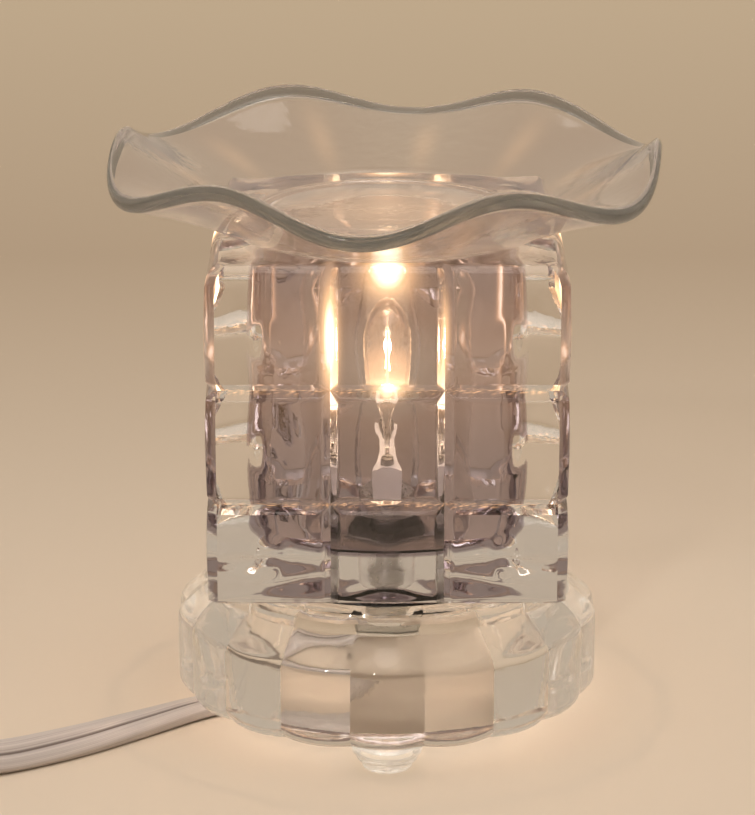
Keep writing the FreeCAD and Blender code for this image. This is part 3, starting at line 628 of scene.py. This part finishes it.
def capsule_outside(columns=64):
    """Rows of rounded oblongs, of the fifth power, up the pinch, that open into circles up the capsule."""
    angle = np.linspace(0, 2 * math.pi, columns, endpoint=False)
    way = np.array([0, 0.02, 0.1, 0.4, 0.7, 0.84, 0.93])
    square = (np.abs(np.cos(angle)) ** 5 + np.abs(np.sin(angle)) ** 5) ** -0.2
    open_out = np.clip((way - 0.7) / 0.3, 0, 1)[:, None] ** 1.5
    fit = np.where(way < 0.01, 0.92, 1.0)[:, None]
    half_x, half_y = ((low + (top - low) * open_out) * fit for low, top in zip(PINCH_HALF, PINCH_TOP_HALF))
    shape = square * (1 - open_out) + open_out
    height = PINCH_BOTTOM + (CAPSULE_BOTTOM - PINCH_BOTTOM) * np.repeat(way[:, None], columns, 1)
    pinch = np.stack([half_x * shape * np.cos(angle), half_y * shape * np.sin(angle), height], -1)
    closing = pinch[:1] * (0, 0, 1)
    capsule = turned(dome_rows(CAPSULE_RADIUS, CAPSULE_BOTTOM, CAPSULE_TOP))
    return MM * np.concatenate([closing, pinch, capsule])


def capsule_inside():
    """The same rounded rows, one wall inside, taken downwards so that they face the hollow."""
    bottom = CAPSULE_BOTTOM + CAPSULE_WALL
    rows = dome_rows(CAPSULE_RADIUS - CAPSULE_WALL, bottom, CAPSULE_TOP - CAPSULE_WALL)
    rows = np.concatenate([[(0, bottom)], rows])
    return MM * turned(rows[::-1])


capsule_mesh = grid_mesh("quartz_capsule", [capsule_outside(), capsule_inside()], sharp=50)
capsule_height = mesh_places(capsule_mesh)[:, 2]
# painted glow on the quartz: strongest round the neck, faint about the coil
painted_neck_glow = spot(capsule_height, CAPSULE_BOTTOM + CAPSULE_NECK, 2.0)
paint_glow(capsule_mesh, painted_neck_glow + 0.1 * spot(capsule_height, 81, 5))
capsule_quartz = glass("capsule_glass", (0.98, 0.97, 0.95), wave=300, depth=0.0002, glow=1.0)
quartz_capsule = add_object("quartz_capsule", capsule_mesh, capsule_quartz)
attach(quartz_capsule, "bulb")
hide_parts("bulb_capsule")


def capped(tube, line):
    """A tube's grid with a row at each end that meets in the end of its middle line."""
    first, last = (np.repeat(line[k][None, None], tube.shape[1], 1) for k in (0, -1))
    return np.concatenate([first, tube, last])


def helix_tube(radius, wire, low, high, turns, per_turn=18, round_points=8):
    """A round wire carried along a helix about the upright axis."""
    way = np.linspace(0, 1, turns * per_turn)
    angle = 2 * math.pi * turns * way
    out = np.stack([np.cos(angle), np.sin(angle), 0 * angle], -1)
    line = radius * out + np.stack([0 * way, 0 * way, low + (high - low) * way], -1)
    around = np.linspace(0, 2 * math.pi, round_points, endpoint=False)
    up = np.array((0, 0, 1.0))
    ringed = np.cos(around)[None, :, None] * out[:, None] - np.sin(around)[None, :, None] * up
    return MM * capped(line[:, None] + wire * ringed, line)


def heat_glow(tree, low, high, stops, strength):
    """Makes a material shine in colours that follow the height between two levels."""
    heat = node(tree, "MapRange", Value=axis_socket(tree, "Z"), From_Min=low * MM, From_Max=high * MM)
    fill(tree.nodes["Principled BSDF"], Emission_Color=ramp(tree, heat.outputs[0], stops),
         Emission_Strength=strength)


glow_material, tree, shader = new_material("hot_filament")
heat_glow(tree, FILAMENT_LOW, FILAMENT_HIGH,
          [(0, (1, 0.62, 0.28)), (0.5, (1, 0.84, 0.56)), (1, (1, 0.62, 0.28))], FILAMENT_GLOW)
fill(shader, Base_Color=(0.3, 0.28, 0.25, 1))
filament_points = helix_tube(FILAMENT_RADIUS, FILAMENT_WIRE, FILAMENT_LOW + 0.2, FILAMENT_HIGH - 0.2,
                             FILAMENT_TURNS)
tungsten_coil = add_object("tungsten_coil", grid_mesh("tungsten_coil", [filament_points]), glow_material)
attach(tungsten_coil, "bulb")
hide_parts("bulb_filament")
nickel = solid_finish("nickel_wire", (0.5, 0.48, 0.45), (0.66, 0.64, 0.6), (0.15, 0.3), metal=1.0)
dress(nickel, "bulb_pins")
hot_lead = solid_finish("hot_lead", (0.5, 0.46, 0.4), (0.66, 0.6, 0.52), (0.2, 0.35), metal=1.0)
heat_glow(hot_lead.node_tree, CAPSULE_BOTTOM, FILAMENT_LOW, [(0, (0.05, 0.02, 0.01)), (1, (1, 0.7, 0.4))],
          LEAD_GLOW)
dress(hot_lead, "bulb_leads")

bulb_light = bpy.data.lights.new("bulb_light", "POINT")
bulb_light.energy = BULB_POWER
bulb_light.color = (1.0, 0.8, 0.56)
bulb_light.shadow_soft_size = 2.0 * MM
bulb_lamp = bpy.data.objects.new("bulb_light", bulb_light)
bpy.context.scene.collection.objects.link(bulb_lamp)
bulb_lamp.location = (0, 0, (FILAMENT_LOW + FILAMENT_HIGH) / 2 * MM)
bulb_lamp.parent = frame["bodies"]["bulb"]

# Ruffled dish
# Smoky mauve glass, slumped over a ruffled former, with a thick fire-polished rim of a deeper
# grey. A ring under its floor drops into the body's chamber and keeps it centred.
RUFFLES = 6
RUFFLE_TURN = math.radians(-5.6)
DISH_FOOT = 33.0
DISH_WALL = 3.37
RIM_RADIUS = 56.2
RIM_SWING = 1.4
RIM_RISE = 11.8
RISE_SWING = 3.3
RIM_BEAD = 1.4
# where the painted light falls on the dish: bars on the wall and a pool on the floor
BAR_TURN = math.radians(109)
BAR_RADIUS = 43.0
BAR_WIDTH = 7.0
PAINTED_BAR_LIGHT = 0.3
PAINTED_FLOOR_LIGHT = 0.6
FLOOR_LIGHT_REACH = 17.0


def dish_grid(columns=240):
    """Rows go from the middle of the underside out to the rim and back over the inside. A row's radius
    and height swing with a cosine of six waves, by the square of its share of the way to the rim."""
    angle = np.linspace(0, 2 * math.pi, columns, endpoint=False)
    wave = np.cos(RUFFLES * (angle + math.pi / 2 - RUFFLE_TURN))[None]

    def wall_rows(share, out, lift):
        share = np.asarray(share, float)[:, None]
        radius = DISH_FOOT + (RIM_RADIUS - DISH_FOOT) * share + RIM_SWING * wave * share ** 2 + out
        height = BODY_TOP + RIM_RISE * share - RISE_SWING * wave * share ** 2 + lift
        return np.stack([radius * np.cos(angle), radius * np.sin(angle), height], -1)

    ring_rows = np.array([
        (0, BODY_TOP), (12, BODY_TOP), (23.2, BODY_TOP), (23.8, BODY_TOP - 0.4), (24.0, BODY_TOP - 1.8),
        (24.5, BODY_TOP - 2.2), (26.4, BODY_TOP - 2.2), (27.0, BODY_TOP - 1.7), (27.0, BODY_TOP - 0.3),
        (27.4, BODY_TOP),
    ])
    floor_rows = np.array([(radius, BODY_TOP + DISH_WALL) for radius in (30.5, 15, 0)])
    climb = np.linspace(0, 1, 20)
    bead = np.linspace(-math.pi / 2, math.pi / 2, 13)[1:-1]
    half = DISH_WALL / 2
    rim = [wall_rows([1], RIM_BEAD * math.cos(b), half + half * math.sin(b)) for b in bead]
    parts = [turned(ring_rows, columns), wall_rows(climb, 0, 0), *rim, wall_rows(climb[::-1], 0, DISH_WALL),
             turned(floor_rows, columns)]
    rim_start = len(ring_rows) + len(climb) - 1
    return MM * np.concatenate(parts), (rim_start, rim_start + len(rim) - 1)


dish_points, rim_rows = dish_grid()
dish_mesh = grid_mesh("ruffled_glass_dish", [dish_points], sharp=40)
row_of_face = np.arange(len(dish_mesh.polygons)) // dish_points.shape[1]
on_rim = (row_of_face >= rim_rows[0]) & (row_of_face < rim_rows[1])
dish_mesh.polygons.foreach_set("material_index", on_rim.astype(np.int32))
dish_x, dish_y = mesh_places(dish_mesh)[:, :2].T
dish_reach = np.hypot(dish_x, dish_y)
# painted light on the dish: a warm pool on its floor and twelve soft bars on its wall; both dish materials
# shine with it
painted_bars = np.maximum(0, np.cos(2 * RUFFLES * (np.arctan2(dish_y, dish_x) - BAR_TURN))) ** 4
painted_wall_light = PAINTED_BAR_LIGHT * painted_bars * spot(dish_reach, BAR_RADIUS, BAR_WIDTH)
paint_glow(dish_mesh, PAINTED_FLOOR_LIGHT * spot(dish_reach, 0, FLOOR_LIGHT_REACH) + painted_wall_light)
dish_smoke = glass("dish_glass", (0.77, 0.72, 0.685), wave=45, fine=0.1, depth=0.0016, clear=0.94,
                   glow=0.25)
dish_rim = glass("dish_rim", (0.14, 0.15, 0.14), wave=120, fine=0.2, depth=0.001, clear=0.88, glow=0.5)
ruffled_glass_dish = add_object("ruffled_glass_dish", dish_mesh, dish_smoke, dish_rim)
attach(ruffled_glass_dish, "dish")
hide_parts("ruffled_dish")

# Flat twin cord
# Clear vinyl over two bundles of tinned strands, with a groove between them. One length runs from
# the lamp to the dimmer, the other from the dimmer through a tied coil to the plug.
CORD_WIDTH = 7.0 * MM
CORD_THICKNESS = 3.4 * MM
CORD_COLOUR = (0.36, 0.315, 0.295)
STRAND_COLOUR = (0.56, 0.5, 0.465)
# painted shade: the dark colour of a line painted along the groove
GROOVE_PAINTED_SHADE = (0.3, 0.26, 0.25)
CORD_GROOVE = 0.34
CORD_GROOVE_WIDTH = 0.42 * MM
CORD_ROLL = math.radians(-52)
ROLL_START = 32.0
ROLL_LENGTH = 50.0
UNROLL_START = 86.0
UNROLL_LENGTH = 20.0
lead_route = MM * np.array([
    (0, 0, 20), (0, 0, 9.6), (-7.6, 0, 1.7), (-22.5, -0.6, 1.7), (-38, -6.5, 1.7), (-52, -19.5, 1.7),
    (-66, -32, 1.7), (-82.5, -42, 1.7), (-99.5, -49, 7.5), (-117.8, -49, 7.5),
])
link_route = MM * np.array([
    (-158.2, -49, 7.5), (-176.5, -49, 7.5), (-193.5, -43.4, 2.6), (-207.2, -31.8, 1.7),
    (-215.2, -14.8, 1.7), (-217.7, 4, 2.85),
])
tail_route = MM * np.array([(-164, 66.7, 10.25), (-152, 66.7, 7.5), (-141, 66.7, 7.5)])
COIL_CENTRE = MM * np.array((-175.0, 24.0))
COIL_TURNS = 5.25
OUTER_TURN = 42.7 * MM
INNER_TURN = 35.3 * MM
FIRST_ROW = 2.85 * MM
ROW_PITCH = 3.7 * MM
POINTS_PER_TURN = 16


def ease(share):
    """A share held between 0 and 1 and eased at both ends: three times its square less twice its cube."""
    share = np.clip(share, 0, 1)
    return share * share * (3 - 2 * share)


def coil_route():
    """Clockwise turns from the coil's left: outer and inner on the first row, inner and outer on the
    second, outer on the third. Each step to the next turn is spread over a third of a turn."""
    turn = np.arange(0, COIL_TURNS, 1 / POINTS_PER_TURN)

    def step(at):
        return ease((turn - at) * 3 + 0.5)

    radius = OUTER_TURN + (INNER_TURN - OUTER_TURN) * (step(1) - step(3))
    height = FIRST_ROW + ROW_PITCH * (step(2) + step(4))
    radius = radius / (0.75 + 0.25 * math.cos(2 * math.pi / POINTS_PER_TURN))
    angle = math.pi - 2 * math.pi * turn
    plan = COIL_CENTRE + radius[:, None] * np.stack([np.cos(angle), np.sin(angle)], -1)
    return np.c_[plan, height]


def smooth_line(name, route):
    """Points read from a NURBS curve that has a route's points as its control points."""
    curve = bpy.data.curves.new(name, "CURVE")
    curve.dimensions = "3D"
    spline = curve.splines.new("NURBS")
    spline.points.add(len(route) - 1)
    spline.points.foreach_set("co", np.c_[route, np.ones(len(route))].ravel())
    spline.order_u = 3
    spline.use_endpoint_u = True
    spline.resolution_u = 8
    holder = bpy.data.objects.new(name, curve)
    bpy.context.scene.collection.objects.link(holder)
    line = bpy.data.meshes.new_from_object(holder)
    points = np.empty(len(line.vertices) * 3)
    line.vertices.foreach_get("co", points)
    bpy.data.objects.remove(holder)
    return points.reshape(-1, 3)


def twin_section(count=40):
    """The cord's outline: a rounded slot whose half thickness dips in a bell curve at its middle."""
    around = np.linspace(0, 2 * math.pi, count, endpoint=False)
    across = CORD_WIDTH / 2 * np.sign(np.cos(around)) * np.abs(np.cos(around)) ** 0.8
    groove = 1 - CORD_GROOVE * spot(across, 0, CORD_GROOVE_WIDTH)
    thin = CORD_THICKNESS / 2 * np.sign(np.sin(around)) * np.abs(np.sin(around)) ** 0.55 * groove
    return across, thin


def unit(rows):
    """Each row divided by its length."""
    return rows / np.linalg.norm(rows, axis=1, keepdims=True)


def cord_axes(line, roll):
    """A cord's middle line and the directions of its width and thickness. Its width lies level and
    square to the line, then is rolled about it, and the line rises so that a rolled cord clears the
    table."""
    travel = unit(np.gradient(line, axis=0))
    heading = travel * (1, 1, 0) + (-0.02, 0, 0)
    side = np.cross((0, 0, 1), heading)
    side = unit(side - travel * np.sum(side * travel, axis=1, keepdims=True))
    up = np.cross(travel, side)
    lift = (CORD_WIDTH - CORD_THICKNESS) / 2 * np.abs(np.sin(roll))
    middle = line + lift[:, None] * (0, 0, 1)
    wide = np.cos(roll)[:, None] * side + np.sin(roll)[:, None] * up
    thin = np.cos(roll)[:, None] * up - np.sin(roll)[:, None] * side
    return middle, wide, thin


def along_line(line):
    """How far each point of a line is along it."""
    return np.concatenate([[0], np.cumsum(np.linalg.norm(np.diff(line, axis=0), axis=1))])


def cord_mesh(name, middle, wide, thin):
    """The twin section carried along a cord's middle line, with its length and its turn as UV."""
    across, thick = twin_section()
    points = middle[:, None] + across[None, :, None] * wide[:, None] + thick[None, :, None] * thin[:, None]
    columns = points.shape[1]
    points = capped(points, middle)
    along = along_line(middle)
    along = np.concatenate([along[:1], along, along[-1:]])
    first = np.repeat(np.arange(len(points) - 1)[:, None], columns, 1)
    column = np.repeat(np.arange(columns)[None], len(points) - 1, 0)
    u = np.stack([along[first], along[first], along[first + 1], along[first + 1]], -1)
    v = np.stack([column, column + 1, column + 1, column], -1) / columns
    return grid_mesh(name, [points], uv=np.stack([u, v], -1))


cord_material, tree, shader = new_material("cord_vinyl")
place = node(tree, "UVMap", uv_map="along_cord").outputs[0]
spread = node(tree, "Mapping", Vector=place, Scale=(14.0, 90.0, 1.0))
strands = node(tree, "TexNoise", Vector=spread.outputs[0], Scale=1.0, Detail=3.0, Roughness=0.55)
tint = ramp(tree, strands.outputs["Fac"], [(0.3, CORD_COLOUR), (0.7, STRAND_COLOUR)])
turn_share = node(tree, "SeparateXYZ", Vector=place).outputs["Y"]
halves = combine(tree, "PINGPONG", turn_share, 0.25)
# painted shade: a thin dark line painted along the groove between the two conductors
painted_groove_shade = ramp(tree, halves, [(0.234, (1, 1, 1)), (0.246, GROOVE_PAINTED_SHADE)])
shaded = node(tree, "Mix", data_type="RGBA", blend_type="MULTIPLY", Factor=1.0, A=tint, B=painted_groove_shade)
bump = node(tree, "Bump", Strength=0.15, Distance=0.0003, Height=strands.outputs["Fac"])
fill(shader, Base_Color=shaded.outputs["Result"], Normal=bump.outputs[0], Roughness=0.28, Coat_Weight=0.5,
     Coat_Roughness=0.12)

lead_line = smooth_line("lead_line", lead_route)
from_axis = -lead_line[:, 0] / MM
rolled = ease((from_axis - ROLL_START) / ROLL_LENGTH)
unrolled = ease((from_axis - UNROLL_START) / UNROLL_LENGTH)
lead_roll = CORD_ROLL * rolled * (1 - unrolled)
lead_axes = cord_axes(lead_line, lead_roll)
lamp_cord = add_object("lamp_cord", cord_mesh("lamp_cord", *lead_axes), cord_material)
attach(lamp_cord, "lamp")
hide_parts("cord_lead")

far_line = smooth_line("far_line", np.concatenate([link_route, coil_route(), tail_route]))
far_axes = cord_axes(far_line, np.zeros(len(far_line)))
plug_cord = add_object("plug_cord", cord_mesh("plug_cord", *far_axes), cord_material)
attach(plug_cord, "lamp")
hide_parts("cord_link", "cord_coil", "cord_tail")

# Coil tie
# A strap of natural nylon with rounded edges, bent round the stacked turns of the coil at the side
# that faces the lamp, to keep the spare cord together.
TIE_CENTRE = (-136.07, 24.0, 6.55)
TIE_HALF = (8.27, 6.55)
TIE_WIDTH = 6.0
TIE_THICKNESS = 0.9
TIE_BEND = 2.4
TIE_EDGE = 0.3


def oblong(half_long, half_wide, corner, per_corner=9, per_side=6):
    """The outline of a rounded oblong in its own plane, with as many points on each corner and side."""
    quarter = np.linspace(0, math.pi / 2, per_corner)
    share = np.linspace(0, 1, per_side + 2)[1:-1, None]
    arcs = []
    for k, (right, top) in enumerate(((1, 1), (-1, 1), (-1, -1), (1, -1))):
        turn = quarter + k * math.pi / 2
        arcs.append(np.stack([right * (half_long - corner) + corner * np.cos(turn),
                              top * (half_wide - corner) + corner * np.sin(turn)], -1))
    runs = [arcs[k][-1] + (arcs[k - 3][0] - arcs[k][-1]) * share for k in range(4)]
    return np.concatenate([piece for pair in zip(arcs, runs) for piece in pair])


def tie_grid():
    """A rounded flat section carried round an oblong: out along the oblong's normal and across in Y."""
    outer = oblong(*TIE_HALF, TIE_BEND)
    inner = oblong(TIE_HALF[0] - TIE_THICKNESS, TIE_HALF[1] - TIE_THICKNESS, TIE_BEND - TIE_THICKNESS)
    middle = (outer + inner) / 2
    out = (outer - inner) / TIE_THICKNESS
    section = oblong(TIE_THICKNESS / 2, TIE_WIDTH / 2, TIE_EDGE, per_corner=4, per_side=1)
    flat = middle[:, None] + section[None, :, :1] * out[:, None]
    across = np.broadcast_to(section[None, :, 1], flat.shape[:2])
    return MM * (np.stack([flat[..., 0], across, flat[..., 1]], -1) + TIE_CENTRE)


tie_mesh = grid_mesh("nylon_tie", [tie_grid()], close_rows=True, sharp=40)
nylon_tie = add_object("nylon_tie", tie_mesh, nylon)
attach(nylon_tie, "lamp")
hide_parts("coil_tie")

# Dimmer
# A two-part moulded housing on the cord, screwed together from below, with finger ribs on its sides
# and a scooped window for a notched thumbwheel. A ribbed boot guards the cord at each end.
DIMMER_CENTRE = (-138.0, -49.0)
DIMMER_HALF = (24.0, 12.0, 6.0)
DIMMER_TOP = 16.0
DIMMER_SPLIT = 7.5
DIMMER_WALL = 1.8
TOP_EDGE = 2.6
FOOT_EDGE = 1.4
SEAM = 0.25
WINDOW_HALF = (8.3, 3.3, 0.6)
SCOOP = 0.7
RIB_PITCH = 2.4
RIB_DEPTH = 0.4
RIB_REACH = 12.0


def shell_row(inset, height, ribs=0.0):
    """One level loop of the housing: how far it is in from the outside, its height, its share of ribs."""
    return (*(half - inset for half in DIMMER_HALF), height, ribs)


def round_edge(radius, height, turns):
    """Loops over a rounded edge whose round has its centre at a height."""
    return [shell_row(radius * (1 - math.cos(t)), height + radius * math.sin(t)) for t in turns]


def shell_grid(rows):
    """Level oblong loops. The long sides dip by a raised cosine along X, a groove to each pitch."""
    grid = []
    for half_long, half_wide, corner, height, ribs in rows:
        loop = oblong(half_long, half_wide, corner, per_side=100)
        wave = 0.5 - 0.5 * np.cos(2 * math.pi * loop[:, 0] / RIB_PITCH)
        dip = ribs * RIB_DEPTH * wave * (np.abs(loop[:, 0]) < RIB_REACH)
        loop[:, 1] -= np.sign(loop[:, 1]) * dip
        grid.append(np.c_[loop + DIMMER_CENTRE, np.full(len(loop), height)])
    return MM * np.array(grid)


quarter_turns = np.linspace(0, math.pi / 2, 8)
ceiling = DIMMER_TOP - DIMMER_WALL
scoop_floor = DIMMER_TOP - SCOOP
cover_rows = [
    shell_row(DIMMER_WALL, DIMMER_SPLIT), shell_row(SEAM, DIMMER_SPLIT), shell_row(0, DIMMER_SPLIT + SEAM),
    shell_row(0, DIMMER_SPLIT + 0.8), shell_row(0, DIMMER_SPLIT + 1.2, 1), shell_row(0, 12.4, 1),
    shell_row(0, 12.8), *round_edge(TOP_EDGE, DIMMER_TOP - TOP_EDGE, quarter_turns),
    # the scoop and the window in it: half length, half width, corner, height, ribs
    (15.2, 8.3, 5.2, DIMMER_TOP, 0), (14.4, 7.6, 4.8, DIMMER_TOP - 0.1, 0),
    (12.0, 5.4, 3.2, scoop_floor, 0), (8.9, 3.9, 1.2, scoop_floor, 0),
    (8.45, 3.45, 0.75, scoop_floor - 0.15, 0), (*WINDOW_HALF, scoop_floor - 0.5, 0),
    (*WINDOW_HALF, ceiling, 0), shell_row(DIMMER_WALL, ceiling),
]
foot_rows = [
    (0, 0, 0, 0.1, 0), *round_edge(FOOT_EDGE, FOOT_EDGE + 0.1, quarter_turns[::-1] * -1),
    shell_row(0, 2.2), shell_row(0, 2.6, 1), shell_row(0, DIMMER_SPLIT - 1.2, 1),
    shell_row(0, DIMMER_SPLIT - 0.8), shell_row(0, DIMMER_SPLIT - SEAM), shell_row(SEAM, DIMMER_SPLIT),
    shell_row(DIMMER_WALL, DIMMER_SPLIT), shell_row(DIMMER_WALL, DIMMER_WALL), (0, 0, 0, DIMMER_WALL, 0),
]
moulded = solid_finish("dimmer_plastic", (0.66, 0.62, 0.55), (0.72, 0.69, 0.62), (0.35, 0.5), scuff=2200,
                       bump_strength=0.2)
cover_mesh = grid_mesh("moulded_cover", [shell_grid(cover_rows)], close_rows=True, sharp=35)
moulded_cover = add_object("moulded_cover", cover_mesh, moulded)
foot_shell_mesh = grid_mesh("moulded_foot", [shell_grid(foot_rows)], sharp=35)
moulded_foot = add_object("moulded_foot", foot_shell_mesh, moulded)
for piece, covered in ((moulded_cover, "dimmer_cover"), (moulded_foot, "dimmer_base")):
    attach(piece, "lamp")
    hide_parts(covered)

BOOT_INSIDE = 3.0 * MM
BOOT_END = 21.0 * MM
BOOT_THICK = np.array((5.45, 3.65, 3.4)) * MM
BOOT_THIN = np.array((4.0, 2.2, 2.1)) * MM
BOOT_RIBS = 6
BOOT_GROOVE = 0.55 * MM


def boot_grid(middle, wide, thin, start, stop, thick_first):
    """Oblong sections along a cord between two distances, shrinking evenly from the thick end to the
    thin one, with grooves where a squared raised cosine of the way along is high."""
    along = along_line(middle)
    at = np.linspace(start, stop, 73)

    def sampled(rows):
        return np.stack([np.interp(at, along, column) for column in rows.T], -1)

    line, side, up = sampled(middle), sampled(wide), sampled(thin)
    share = np.linspace(0, 1, len(at)) if thick_first else np.linspace(1, 0, len(at))
    groove = BOOT_GROOVE * (0.5 - 0.5 * np.cos(2 * math.pi * BOOT_RIBS * share)) ** 2
    sizes = BOOT_THICK + (BOOT_THIN - BOOT_THICK) * share[:, None] - groove[:, None]
    sections = np.array([oblong(*size) for size in sizes])
    points = line[:, None] + sections[..., :1] * side[:, None] + sections[..., 1:] * up[:, None]
    return capped(points, line)


lead_length = float(along_line(lead_axes[0])[-1])
boots = [boot_grid(*lead_axes, lead_length - BOOT_END, lead_length - BOOT_INSIDE, thick_first=False),
         boot_grid(*far_axes, BOOT_INSIDE, BOOT_END, thick_first=True)]
soft_moulded = solid_finish("boot_vinyl", (0.6, 0.56, 0.49), (0.67, 0.63, 0.56), (0.4, 0.55), scuff=1800)
cord_boots = add_object("cord_boots", grid_mesh("cord_boots", boots, sharp=50), soft_moulded)
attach(cord_boots, "lamp")

dress(solid_finish("wheel_plastic", (0.5, 0.47, 0.42), (0.58, 0.55, 0.5), (0.25, 0.4)), "dimmer_wheel")
dress(solid_finish("control_plastic", (0.03, 0.03, 0.035), (0.06, 0.06, 0.07), (0.4, 0.55)),
      "dimmer_potentiometer", "dimmer_triac")
dress(solid_finish("board_laminate", (0.2, 0.27, 0.1), (0.3, 0.36, 0.16), (0.3, 0.5)), "dimmer_board")
dress(solid_finish("copper", (0.5, 0.22, 0.12), (0.7, 0.36, 0.22), (0.25, 0.4), metal=1.0), "dimmer_wires")

# Plug
# Moulded vinyl round two stamped brass blades: a body with a waist and grip ridges on its sides, and
# a ribbed tail that tapers on to the cord.
PLUG_CENTRE = (66.7, 7.5)
PLUG_TAIL = -147.0
PLUG_REAR = -135.0
PLUG_FRONT = -111.0
PLUG_HALF_WIDTH = 12.0
PLUG_HALF_HEIGHT = 7.5
SHOULDER_ROWS = [
    # place along the cord, half width, half height, corner
    (-134.9, 7.2, 6.0, 5.6), (-134.6, 9.0, 6.6, 5.2), (-133.9, 10.6, 7.1, 4.6), (-132.8, 11.6, 7.4, 4.0),
    (-131.4, PLUG_HALF_WIDTH, PLUG_HALF_HEIGHT, 3.4),
]
FACE_ROWS = [
    (-113.0, PLUG_HALF_WIDTH, PLUG_HALF_HEIGHT, 3.0), (-112.0, 11.8, 7.3, 2.9), (-111.3, 11.3, 6.8, 2.6),
    (PLUG_FRONT, 10.4, 6.0, 2.2), (PLUG_FRONT, 0, 0, 0),
]
TAIL_RADIUS = 4.3
TAIL_GROWTH = 1.1
TAIL_GROOVE = 0.6
TAIL_EDGE = 0.3
TAIL_RIBS = 5
GRIP_START = -129.5
GRIP_END = -115.1
GRIP_RIDGES = 7
GRIP_WAIST = 1.0
GRIP_DEPTH = 0.45


def plug_grid():
    """Oblong sections along X. The tail's radius grows evenly and is grooved by a squared raised cosine;
    the body's half width dips by a squared sine for the waist and by a raised cosine for the ridges."""
    tail = np.linspace(0, 1, 61)
    groove = TAIL_GROOVE * (0.5 - 0.5 * np.cos(2 * math.pi * TAIL_RIBS * tail)) ** 2
    tail_radii = TAIL_RADIUS + TAIL_GROWTH * tail - groove
    tail_places = PLUG_TAIL + TAIL_EDGE + (PLUG_REAR - PLUG_TAIL - TAIL_EDGE) * tail
    grip = np.linspace(0, 1, 85)
    grip_places = np.linspace(GRIP_START, GRIP_END, len(grip))
    waist = GRIP_WAIST * np.sin(math.pi * grip) ** 2
    ridges = GRIP_DEPTH * (0.5 - 0.5 * np.cos(2 * math.pi * GRIP_RIDGES * grip))
    rows = [(PLUG_TAIL, 0, 0, 0), (PLUG_TAIL, 3.9, 3.9, 3.9)]
    rows += [(x, radius, radius, radius) for x, radius in zip(tail_places, tail_radii)]
    rows += SHOULDER_ROWS
    rows += [(x, PLUG_HALF_WIDTH - dip, PLUG_HALF_HEIGHT, 3.2)
             for x, dip in zip(grip_places, waist + ridges)]
    rows += FACE_ROWS
    sections = np.array([oblong(*size) + PLUG_CENTRE for _, *size in rows])
    places = np.array([x for x, *_ in rows])[:, None, None]
    return MM * np.concatenate([np.broadcast_to(places, (*sections.shape[:2], 1)), sections], -1)


plug_vinyl = solid_finish("plug_vinyl", (0.56, 0.52, 0.46), (0.64, 0.6, 0.54), (0.3, 0.45), scuff=1500)
moulded_plug = add_object("moulded_plug", grid_mesh("moulded_plug", [plug_grid()], sharp=50), plug_vinyl)
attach(moulded_plug, "lamp")
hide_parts("plug_body")
